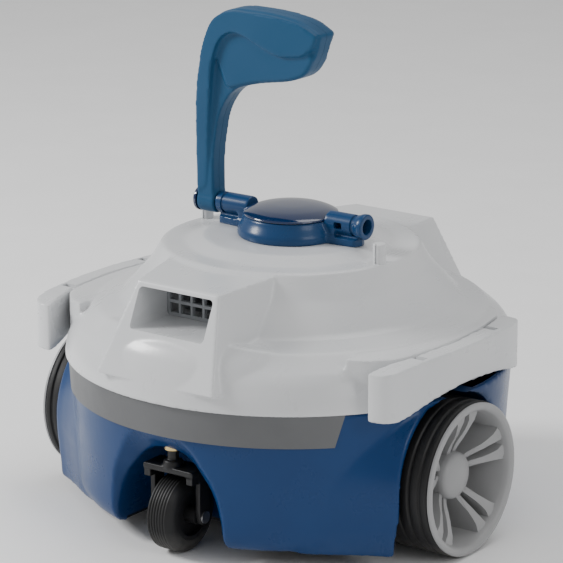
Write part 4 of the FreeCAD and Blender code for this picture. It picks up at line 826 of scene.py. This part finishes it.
@dataclass
class Latch:
    """White bar over a side wheel."""

    side: Side
    top_z: float = 146.0
    grid: float = 1.0

    def build(self) -> None:
        """Models and dresses one latch."""
        sign = self.side.value
        plan = [(134.5, -101.0), (141.5, -101.5), (152.0, -96.0), (156.0, -78.0), (158.8, -45.0),
                (159.8, -19.0),
                (158.8, 8.0), (156.0, 38.0), (151.5, 58.0), (142.0, 63.0), (135.0, 62.5), (144.0, 24.0),
                (148.0, -19.0), (144.0, -62.0)]
        reaches = [1, 5, 6, 8, 10, 10, 10, 8, 6, 4, 1, 8, 14, 8]
        bar = prism("bar", [(sign * x, y, 106.0) for x, y in plan], reaches, (0, 0, self.top_z - 106))
        low = [(120, -110, 112), (120, -100, 108.5), (120, -86, 110.5), (120, -62, 116.5),
               (120, -19, 121.5),
               (120, 24, 117.5), (120, 46, 112.5), (120, 56, 111.3), (120, 70, 114), (120, 70, 141),
               (120, 58, 145),
               (120, 20, self.top_z), (120, -60, self.top_z), (120, -90, 144.8), (120, -110, 140)]
        side_view = prism("view", [(sign * x, y, z) for x, y, z in low],
                          [3, 5, 5, 10, 16, 10, 5, 4, 3, 6, 10, 10, 10, 10, 4], (sign * 60, 0, 0))
        kept_inside(bar, side_view)
        skin = moulded(bar, self.grid, 6)
        skin.name = "latch_bar_" + self.side.label
        cutters = []
        for y in (-62.0, 24.0):
            x0, x1 = sorted((sign * 136, sign * 153.9))
            cutters.append(brick("ear_room", (x0, y - 2.9, 139.0), (x1, y + 2.9, 150.0)))
        cut_away(skin, cutters)
        crease(skin)
        dress(skin, COVER_WHITE, "latch_" + self.side.label, ["side_latch_" + self.side.label])


# ---------------------------------------------------------------- lower shell
@dataclass
class LowerShell:
    """Blue bowl with flared wheel arches and recessed caster arches."""

    top_z: float = 110.6
    foot_z: float = 11.0
    axle: Flat = (-21.0, 53.5)
    well_r: float = 57.5
    well_x: float = 117.0
    grid: float = 1.6

    def bowl(self, name: str, inset: float) -> bpy.types.Object:
        """The bowl as a solid, moved inwards by inset.

        Args:
            name: the piece's name.
            inset: how far inwards, in millimetres.

        Returns:
            The piece.
        """
        i = inset
        lift = 3.2 if inset else 0.0
        top = self.top_z + (5.0 if inset else 0.0)
        profile = [(0, self.foot_z + lift), (141 - i, self.foot_z + lift), (148.5 - i, 18 + lift),
                   (150.5 - i, 60), (154.3 - i, top), (0, top)]
        return turned(name, profile, [0, 5, 8, 20, 0, 0], 160)

    def collar(self, side: Side) -> List[bpy.types.Object]:
        """The flared lip round a wheel arch: a ring over the wheel and its two straight legs.

        Args:
            side: the side it is on.

        Returns:
            The pieces.
        """
        y, z = self.axle
        outer = [(57.0, 92), (57.0, 145.5), (59.2, 147.6), (61.2, 146.6), (65, 138.5), (72, 126.5),
                 (82, 111.5),
                 (93, 92)]
        rounds = [0, 1, 1, 1, 3, 4, 4, 0]
        centre = (0.0, y, z)
        ring = turned("ring", outer, rounds, 128, "X", centre)
        pieces = [ring]
        for way in (-1, 1):
            leg = [(x, y + way * r, self.foot_z) for r, x in outer]
            shape = prism("leg", leg, rounds, (0, 0, z - self.foot_z))
            pieces.append(reshape(shape, lambda p: Vector((p.x - 4.5 * (p.z < z - 1), p.y, p.z))))
        if side is Side.LEFT:
            flipped = [mirrored(piece, piece.name, (-1, 1, 1)) for piece in pieces]
            for piece in pieces:
                bpy.data.objects.remove(piece)
            return flipped
        return pieces

    def well(self, side: Side, radius: float, x0: float) -> List[bpy.types.Object]:
        """Cutters for the room round a wheel.

        Args:
            side: the side it is on.
            radius: radius in millimetres.
            x0: where it starts.

        Returns:
            The pieces.
        """
        y, z = self.axle
        start = x0 if side is Side.RIGHT else -x0 - 90
        ends = sorted((side.value * x0, side.value * (x0 + 90)))
        return [drum("well", radius, 90, (start, y, z), "X", 96),
                brick("well", (ends[0], y - radius, -10), (ends[1], y + radius, z))]

    def arch(self, end: End, y: float, scale_x: float, scale_z: float) -> List[Point]:
        """A caster arch's outline at a given depth.

        Args:
            end: the end it is at.
            y: depth in millimetres.
            scale_x: width factor.
            scale_z: height factor.

        Returns:
            The corners.
        """
        half = [(45, -10), (45, 26), (38, 50), (16, 75)]
        right = [(x * scale_x, end.value * y, z if z < 0 else 8 + (z - 8) * scale_z) for x, z in half]
        return right + [(-x, yy, z) for x, yy, z in reversed(right)]

    def caster_cuts(self, end: End) -> List[bpy.types.Object]:
        """Cutters for a caster's room and the flared recess in front of it.

        Args:
            end: the end it is at.

        Returns:
            The pieces.
        """
        reaches = [0, 9, 9, 12, 12, 9, 9, 0]
        room = bridged("room", [self.arch(end, 95, 1, 1), self.arch(end, 175, 1, 1)], reaches)
        recess = bridged("recess", [self.arch(end, 139, 1.0, 1.0), self.arch(end, 146, 1.22, 1.1),
                                    self.arch(end, 176, 2.6, 1.7)], reaches)
        return [room, recess]

    def hollow(self) -> bpy.types.Object:
        """Cutter for the bowl's inside, clear of wheel and caster housings."""
        inside = self.bowl("inside", 3.0)
        blocks = [cutter for side in Side for cutter in self.well(side, self.well_r + 3, self.well_x - 3)]
        for end in End:
            ys = sorted((end.value * 92, end.value * 120))
            blocks.append(brick("housing", (-48, ys[0], 0), (48, ys[1], 78), 4))
            ys = sorted((end.value * 112, end.value * 170))
            blocks.append(brick("housing", (-96, ys[0], 0), (96, ys[1], 96), 4))
        return cut_away(inside, blocks)

    def build(self) -> None:
        """Models and dresses the shell."""
        solids = [self.bowl("bowl", 0.0)]
        for side in Side:
            solids += self.collar(side)
        skin = gathered("shell_bowl", solids)
        fuse = moulded(skin, self.grid, 1)
        cutters = [brick("above", (-200, -200, self.top_z), (200, 200, 260)),
                   brick("below", (-200, -200, -80), (200, 200, self.foot_z))]
        for side in Side:
            cutters += self.well(side, self.well_r, self.well_x)
        for end in End:
            cutters += self.caster_cuts(end)
        cut_away(fuse, cutters)
        skin = moulded(fuse, self.grid, 4)
        cut_away(skin, [self.hollow(), drum("pan", 136.2, 20, (0, 0, self.foot_z - 16.6)),
                        drum("pan", 136.2, 6.2, (0, 0, self.foot_z - 3))])
        cutters = [drum("boss", 6.2, 12, (0, end.value * 134, 70)) for end in End]
        cutters.append(brick("panel", (-42.0, 128, 85.5), (42.0, 170, 107.5)))
        for side in Side:
            start = side.value * 90 if side is Side.RIGHT else -140
            cutters.append(drum("axle", 6.1, 50, (start, self.axle[0], self.axle[1]), "X"))
        cut_away(skin, cutters)
        crease(skin)
        skin.name = "shell_bowl"
        dress(skin, SHELL_BLUE, "chassis", ["lower_shell"])


# ---------------------------------------------------------------- handle
@dataclass
class Handle:
    """Floating handle: slim arm, thick overhanging head with a sweeping crease on both faces."""

    arm_half: float = 7.6
    head_half: float = 13.6
    barrel_z: float = 208.0
    grid: float = 0.9

    def foam(self, half: float) -> bpy.types.Object:
        """The foam core in the head, half deep to each side of the seam.

        Args:
            half: half depth in millimetres.

        Returns:
            The piece.
        """
        points = [(-57, 306), (-55, 326), (-46, 336), (-30, 341), (0, 341), (18, 337), (20, 332),
                  (12, 315), (2, 310),
                  (-26, 305), (-44, 300)]
        return prism("foam_core", [(x, -half, z) for x, z in points], [3] * len(points), (0, 2 * half, 0))

    def build(self) -> None:
        """Models and dresses both halves."""
        whole = [(-76, 208), (-76.3, 250), (-74, 290), (-68, 322), (-60, 341), (-45, 348.6), (-5, 348.6),
                 (18, 344.5),
                 (30.5, 337.5), (26, 322), (18, 308), (4, 302.5), (-26, 297.5), (-45, 291), (-57, 274),
                 (-62.5, 242),
                 (-62, 208)]
        low = [(x, -self.arm_half, z) for x, z in whole]
        slab = prism("slab", low, [0, 12, 12, 8, 8, 8, 14, 8, 2, 5, 6, 6, 10, 7, 9, 10, 0],
                     (0, 2 * self.arm_half, 0))
        raised = [(-75.5, 214), (-75.7, 250), (-73.2, 290), (-67, 321), (-59, 340), (-45, 347.6),
                  (-5, 347.6),
                  (17, 343.5), (29, 337), (25.5, 328), (16, 322), (0, 319.5), (-15, 323.5), (-30, 331),
                  (-42, 333.5), (-52.5, 327.5), (-59.3, 310), (-63.5, 266), (-68, 220)]
        bulb = prism("bulb", [(x, -self.head_half, z) for x, z in raised],
                     [2, 12, 12, 8, 7, 7, 14, 6, 2, 3, 3, 6, 6, 5, 5, 6, 8, 14, 2],
                     (0, 2 * self.head_half, 0))

        def taper(p: Vector) -> Vector:
            """Thins the bulge down the arm and towards the tip.

            Args:
                p: a point in millimetres.

            Returns:
                The point.
            """
            grow = 0.60 + 0.40 * ramp(p.z, 215, 318)
            fall = 1.0 - 0.16 * ramp(p.x, -30, 34)
            return Vector((p.x, p.y * grow * fall, p.z))
        reshape(densified(bulb, 6), taper)
        lower = [(-48, 292), (-60, 318), (-50, 332), (-30, 332), (20, 326), (25, 320), (17, 309), (4, 304),
                 (-26, 299)]
        belly = prism("belly", [(x, -9.6, z) for x, z in lower], [4, 4, 3, 3, 3, 3, 4, 5, 6], (0, 19.2, 0))
        foot = drum("foot", 8.6, 14.6, (-76.2, 0, self.barrel_z), "X", 64)
        skin = moulded(gathered("handle", [slab, bulb, belly, foot]), self.grid, 6)
        cut_away(skin, [drum("bore", 4.15, 40, (-90, 0, self.barrel_z), "X", 48), self.foam(7.0)])
        core = self.foam(6.8)
        crease(core)
        dress(core, FOAM, "handle", ["float_core"])
        for name, way, node in (("handle_front", -1, "handle_front_half"),
                                ("handle_rear", 1, "handle_rear_half")):
            half = mirrored(skin, name, (1, 1, 1))
            ys = sorted((way * 0.12, way * 60))
            kept_inside(half, brick("span", (-120, ys[0], 150), (80, ys[1], 400)))
            crease(half)
            dress(half, HANDLE_BLUE, "handle", [node])
        bpy.data.objects.remove(skin)


def densified(piece: bpy.types.Object, cuts: int) -> bpy.types.Object:
    """Splits the long edges of a solid so that it can be reshaped.

    Args:
        piece: the piece to work on.
        cuts: cuts in each long edge.

    Returns:
        The piece.
    """
    mesh = bmesh.new()
    mesh.from_mesh(piece.data)
    bmesh.ops.triangulate(mesh, faces=mesh.faces[:])
    long_edges = [e for e in mesh.edges if e.calc_length() > 0.012]
    bmesh.ops.subdivide_edges(mesh, edges=long_edges, cuts=cuts, use_grid_fill=True)
    mesh.to_mesh(piece.data)
    mesh.free()
    return piece


# ---------------------------------------------------------------- turret
@dataclass
class Turret:
    """Blue turntable ring with its barrels, and the glossy cap."""

    foot_z: float = 193.8
    top_z: float = 208.5
    barrel_z: float = 208.0

    def build(self) -> None:
        """Models and dresses the ring and the cap."""
        ring = turned("ring", [(0, self.foot_z), (37, self.foot_z), (37.4, 198.5), (33.4, 206),
                               (32.8, self.top_z),
                               (0, self.top_z)], [0, 1, 2, 2, 1, 0], 128)
        solids = [ring]
        for side in Side:
            s = side.value
            start = 33 if side is Side.RIGHT else -61
            solids.append(drum("barrel", 7.4, 28, (start, 0, self.barrel_z), "X", 64))
            arm = [(s * 25, -9.5, self.foot_z), (s * 58, -6.5, self.foot_z), (s * 60, 0, self.foot_z),
                   (s * 58, 6.5, self.foot_z), (s * 25, 9.5, self.foot_z)]
            solids.append(prism("arm", arm, [0, 2, 0, 2, 0], (0, 0, 5.5)))
            xs = sorted((s * 28, s * 59))
            solids.append(brick("web", (xs[0], -3.4, self.foot_z), (xs[1], 3.4, self.barrel_z)))
            xs = sorted((s * 29, s * 41))
            solids.append(brick("neck", (xs[0], -7, self.foot_z), (xs[1], 7, self.barrel_z)))
        skin = moulded(gathered("turret_ring", solids), 0.75, 5)
        trims = [turned("groove", [(7.7, -1.4), (7.7, 1.4), (6.5, 0.8), (6.5, -0.8)], [0, 0, 0, 0], 64,
                        "X", (s * 55, 0, 208))
                 for s in (-1, 1)]
        cutters = [drum("well", 30, 30, (0, 0, self.foot_z + 3), "Z", 96),
                   brick("slot", (41, -9, 205.2), (47.5, 0.5, 209.8), 1.0),
                   drum("bore", 4.0, 40, (-80, 0, self.barrel_z), "X", 48)] + trims
        cut_away(skin, cutters)
        collar = turned("collar", [(5.3, -5), (7.0, -5), (8.9, 0), (8.9, 3.2), (5.3, 3.2)],
                        [0, 0, 1, 1, 0.6], 64, "X",
                        (61, 0, self.barrel_z))
        cut_away(skin, [drum("socket", 5.3, 14, (51, 0, self.barrel_z), "X", 48)])
        skin = gathered("turret_ring", [skin, collar])
        skin.data.shade_smooth()
        crease(skin)
        dress(skin, TURRET_BLUE, "turret", ["turret_body"])
        cap = turned("turret_dome", [(0, 205.7), (29.6, 205.7), (29.6, 208.7), (33.0, 208.7), (33.1, 209.9),
                                     (27, 213.0), (16, 215.0), (0, 215.6)], [0, 0, 0, 0.4, 0.8, 4, 6, 0],
                                     128)
        crease(cap)
        dress(cap, CAP_BLUE, "turret", ["turret_cap"])
        button = turned("pivot_button", [(0, -37), (4, -37), (4, 0), (8.8, 0.3), (8.8, 2.4), (6.5, 3.6),
                                         (0, 3.8)],
                        [0, 0, 0, 0, 0.8, 1, 0], 64, "X", (0, 0, 0))
        mesh = bmesh.new()
        mesh.from_mesh(button.data)
        bmesh.ops.transform(mesh, matrix=Matrix.Translation(metres((-76.6, 0,
                                                                    self.barrel_z))) @ Matrix.Rotation(
            math.pi, 4, "Z"), verts=mesh.verts[:])
        mesh.to_mesh(button.data)
        mesh.free()
        crease(button)
        dress(button, CAP_BLUE, "turret", ["handle_pivot"])


# ---------------------------------------------------------------- wheels
@dataclass
class SideWheel:
    """Light grey spoked hub in a black tyre."""

    side: Side
    radius: float = 53.4
    axle: Flat = (-21.0, 53.5)
    face_x: float = 166.4
    inner_x: float = 117.0
    rim_r: float = 49.2
    pairs: int = 5

    def spoke(self, angle: float, lean: float) -> bpy.types.Object:
        """One blade: narrow at the boss, wide at the rim, leaning to one side.

        Args:
            angle: turn about the axle, in radians.
            lean: how far it leans sideways.

        Returns:
            The piece.
        """
        middles = [(0.0, 12.0, 1.9), (lean, 30.0, 2.3), (lean * 1.45, 40.0, 3.6), (lean * 1.9, 47.5, 6.2)]
        points = [(0.0, y - half, z) for y, z, half in middles]
        points += [(0.0, y + half, z) for y, z, half in reversed(middles)]
        blade = prism("blade", points, [0] * len(points), (19.0, 0, 0))

        def dish(p: Vector) -> Vector:
            """Dishes the blade's outer face and gives it a ridge.

            Args:
                p: a point in millimetres.

            Returns:
                The point.
            """
            middle = lean * (p.z - 12) / 18
            lift = 149.0 + 15.5 * ramp(p.z, 12, 46) if p.x > 5 else 121.0
            ridge = -3.2 * ramp(abs(p.y - middle), 0.2, 4.6) if p.x > 5 else 0.0
            return Vector((lift + ridge - 0.4, p.y, p.z))
        reshape(densified(blade, 3), dish)
        mesh = bmesh.new()
        mesh.from_mesh(blade.data)
        bmesh.ops.rotate(mesh, cent=(0, 0, 0), matrix=Matrix.Rotation(angle, 3, "X"), verts=mesh.verts[:])
        bmesh.ops.translate(mesh, vec=metres((0, self.axle[0], self.axle[1])), verts=mesh.verts[:])
        mesh.to_mesh(blade.data)
        mesh.free()
        return blade

    def hub(self) -> bpy.types.Object:
        """The whole hub on the right side."""
        centre = (0.0, self.axle[0], self.axle[1])
        rim = turned("rim", [(self.rim_r - 3.2, self.inner_x), (self.rim_r, self.inner_x),
                             (self.rim_r, self.face_x - 2.6),
                             (52.6, self.face_x - 2.4), (52.6, self.face_x - 0.8), (51.2, self.face_x),
                             (49.0, self.face_x - 0.2), (47.2, self.face_x - 1.6), (45.6, self.face_x - 6)],
                     [0, 0, 0, 0, 0.5, 0.6, 0.8, 1, 0], 128, "X", centre)
        web = turned("web", [(0, self.inner_x + 2), (self.rim_r - 1, self.inner_x + 2),
                             (self.rim_r - 1, self.inner_x + 5),
                             (0, self.inner_x + 5)], [0, 0, 0, 0], 96, "X", centre)
        boss = turned("boss", [(8.2, self.inner_x), (15.5, self.inner_x), (16.5, 149), (15.6, 153.0),
                               (9.0, 156.2),
                               (0, 156.9), (0, 150.0), (8.2, 150.0)], [0, 0, 1, 2, 4, 0, 0, 0], 96, "X",
                               centre)
        blades = []
        for index in range(self.pairs):
            turn = math.tau * index / self.pairs
            blades.append(self.spoke(turn + math.radians(13), 1.6))
            blades.append(self.spoke(turn - math.radians(13), -1.6))
        return gathered("hub", [rim, web, boss] + blades)

    def tread(self) -> bpy.types.Object:
        """Tyre with eased shoulders and round grooves."""
        centre = (0.0, self.axle[0], self.axle[1])
        x0, x1 = self.inner_x, self.face_x - 3.0
        profile = [(self.rim_r + 0.05, x0), (self.radius - 3.0, x0), (self.radius - 0.9, x0 + 3)]
        rounds = [0.0, 1.2, 1.0]
        grooves = 5
        for index in range(grooves):
            x = x0 + 8 + index * (x1 - x0 - 14) / (grooves - 1)
            profile += [(self.radius, x - 1.4), (self.radius - 1.1, x - 0.7), (self.radius - 1.1, x + 0.7),
                        (self.radius, x + 1.4)]
            rounds += [0.4, 0.2, 0.2, 0.4]
        profile += [(self.radius, x1 - 1.5), (self.radius - 1.2, x1), (self.rim_r + 0.05, x1)]
        rounds += [0.6, 0.6, 0.0]
        return turned("tread", profile, rounds, 160, "X", centre, 2)

    def build(self) -> None:
        """Models and dresses hub and tyre."""
        body = "wheel_" + self.side.label
        for made, name, finish, node, slot in ((self.hub(), "hub_", HUB_GREY, "wheel_hub_", "hub_grey"),
                                               (self.tread(), "tread_", TYRE_BLACK, "tyre_", "tyre_black")):
            piece = mirrored(made, name + self.side.label, (self.side.value, 1, 1))
            bpy.data.objects.remove(made)
            crease(piece)
            dress(piece, finish, body, [node + self.side.label])


@dataclass
class Caster:
    """Swivelling fork and its ribbed wheel."""

    end: End
    stem_y: float = 134.0
    trail: float = 7.0
    radius: float = 26.9
    half_w: float = 11.0

    def build(self) -> None:
        """Models and dresses fork and wheel."""
        flip = (1, 1, 1) if self.end is End.FRONT else (-1, -1, 1)
        axle_y = -self.stem_y + self.trail
        solids = [brick("crown", (-21, -self.stem_y - 7, 57.5), (21, axle_y + 5.5, 62), 1.0),
                  drum("stem", 4.0, 25.6, (0, -self.stem_y, 58)),
                  turned("collar", [(0, 61), (7.6, 61), (6.4, 66), (0, 66)], [0, 0, 0.6, 0], 48, "Z",
                         (0, -self.stem_y, 0))]
        for way in (-1, 1):
            leg = [(way * 17, axle_y - 5, 60), (way * 17, axle_y + 5, 60), (way * 17, axle_y + 6, 30),
                   (way * 17, axle_y + 3.5, 21.5), (way * 17, axle_y - 3.5, 21.5),
                   (way * 17, axle_y - 6, 30)]
            solids.append(prism("leg", leg, [0, 0, 4, 3, 3, 4], (way * 4, 0, 0)))
            xs = sorted((way * 20.5, way * 15))
            solids.append(brick("rib", (xs[0], -self.stem_y - 6, 52), (xs[1], axle_y + 4, 59)))
        fork = moulded(gathered("fork", solids), 0.7, 3)
        tyre_profile = [(18.05, -self.half_w), (21.0, -self.half_w), (24.5, -self.half_w + 1.6)]
        rounds = [0.0, 1.0, 1.5]
        ribs = 7
        pitch = (2 * self.half_w - 6) / ribs
        for index in range(ribs):
            x = -self.half_w + 3 + index * pitch
            crown = self.radius - 0.5 * ((x + pitch / 2) / self.half_w) ** 2
            profile_step = [(crown - 0.7, x), (crown, x + 0.5), (crown, x + pitch - 0.7),
                            (crown - 0.7, x + pitch - 0.2)]
            tyre_profile += profile_step
            rounds += [0.0, 0.2, 0.2, 0.0]
        tyre_profile += [(24.5, self.half_w - 1.6), (21.0, self.half_w), (18.05, self.half_w)]
        rounds += [1.5, 1.0, 0.0]
        tyre = turned("tyre", tyre_profile, rounds, 128, "X", (0, axle_y, 27.0), 2)
        for made, name, finish, body, node, slot in (
                (fork, "fork_", SOFT_BLACK, "caster_", "caster_fork_", "black_plastic"),
                (tyre, "caster_tread_", TYRE_BLACK, "caster_wheel_", "caster_tyre_", "tyre_black")):
            piece = mirrored(made, name + self.end.label, flip)
            bpy.data.objects.remove(made)
            crease(piece)
            dress(piece, finish, body + self.end.label, [node + self.end.label])


# ---------------------------------------------------------------- the rest
def dress_cad_nodes() -> None:
    """Gives every CAD node that stays its finish by its material slot."""
    slots = {entry["node"]: entry["material_slot"] for entry in frame["record"]["subparts"]}
    for name, node in frame["nodes"].items():
        material = SLOT_FINISH[slots[name]].material()
        for index in range(len(node.material_slots)):
            node.material_slots[index].link = "OBJECT"
            node.material_slots[index].material = material
        LOG.info("%s keeps its shape, finish %s", name, material.name)


@dataclass
class Studio:
    """Pale floor, soft lights and the camera."""

    eye: Point = (1263.1, -1738.5, 762.0)
    azimuth: float = 36.0
    elevation: float = 17.0
    aim: Point = (-9.5, 74.6, -3210.0)
    lens: float = 205.3

    def build(self) -> None:
        """Adds floor, lights, world and camera."""
        mesh = bmesh.new()
        bmesh.ops.create_grid(mesh, x_segments=2, y_segments=2, size=4.0)
        floor = piece_from("floor", mesh)
        floor.location.z = -0.0002
        floor.data.materials.append(self._floor_material())
        self._light("key", (-1.5, -0.9, 1.2), 0.55, 38.0)
        self._light("top", (0.3, 0.5, 1.9), 1.2, 12.0)
        self._light("side", (1.6, -0.4, 0.9), 0.7, 6.0)
        world = bpy.data.worlds.new("studio")
        world.use_nodes = True
        world.node_tree.nodes["Background"].inputs["Color"].default_value = (1.0, 1.0, 1.0, 1.0)
        world.node_tree.nodes["Background"].inputs["Strength"].default_value = 0.5
        bpy.context.scene.world = world
        self._camera()

    def _floor_material(self) -> bpy.types.Material:
        """Plain pale paper."""
        return Finish("studio_paper", (0.93, 0.93, 0.93), (0.95, 0.95, 0.95), 0.8, 0.05, 200.0).material()

    def _light(self, name: str, place: Point, size: float, power: float) -> None:
        """Adds a square soft light aimed at the robot.

        Args:
            name: the piece's name.
            place: where it is read or put.
            size: edge in metres.
            power: watts.
        """
        data = bpy.data.lights.new(name, "AREA")
        data.size = size
        data.energy = power
        lamp = bpy.data.objects.new(name, data)
        bpy.context.scene.collection.objects.link(lamp)
        lamp.location = place
        lamp.rotation_mode = "QUATERNION"
        lamp.rotation_quaternion = (Vector((0, 0, 0.15)) - Vector(place)).to_track_quat("-Z", "Y")

    def _camera(self) -> None:
        """Places the camera."""
        azimuth, elevation = math.radians(self.azimuth), math.radians(self.elevation)
        right = Vector((math.cos(azimuth), math.sin(azimuth), 0))
        back = Vector((math.sin(azimuth) * math.cos(elevation), -math.cos(azimuth) * math.cos(elevation),
                       math.sin(elevation)))
        up = back.cross(right)
        look = right * self.aim[0] + up * self.aim[1] + back * self.aim[2]
        data = bpy.data.cameras.new("camera")
        data.lens = self.lens
        data.sensor_width = 36.0
        data.clip_end = 50.0
        camera = bpy.data.objects.new("camera", data)
        bpy.context.scene.collection.objects.link(camera)
        camera.location = metres(self.eye)
        camera.rotation_mode = "QUATERNION"
        camera.rotation_quaternion = look.to_track_quat("-Z", "Y")
        bpy.context.scene.camera = camera


def main() -> None:
    """Builds the sub-assemblies in order."""
    logging.basicConfig(level=logging.INFO, format="%(message)s")
    dress_cad_nodes()
    Studio().build()
    LowerShell().build()
    Cover().build()
    for side in Side:
        Latch(side).build()
        SideWheel(side).build()
    for end in End:
        Caster(end).build()
    Turret().build()
    Handle().build()


if __name__ == "__main__":
    main()
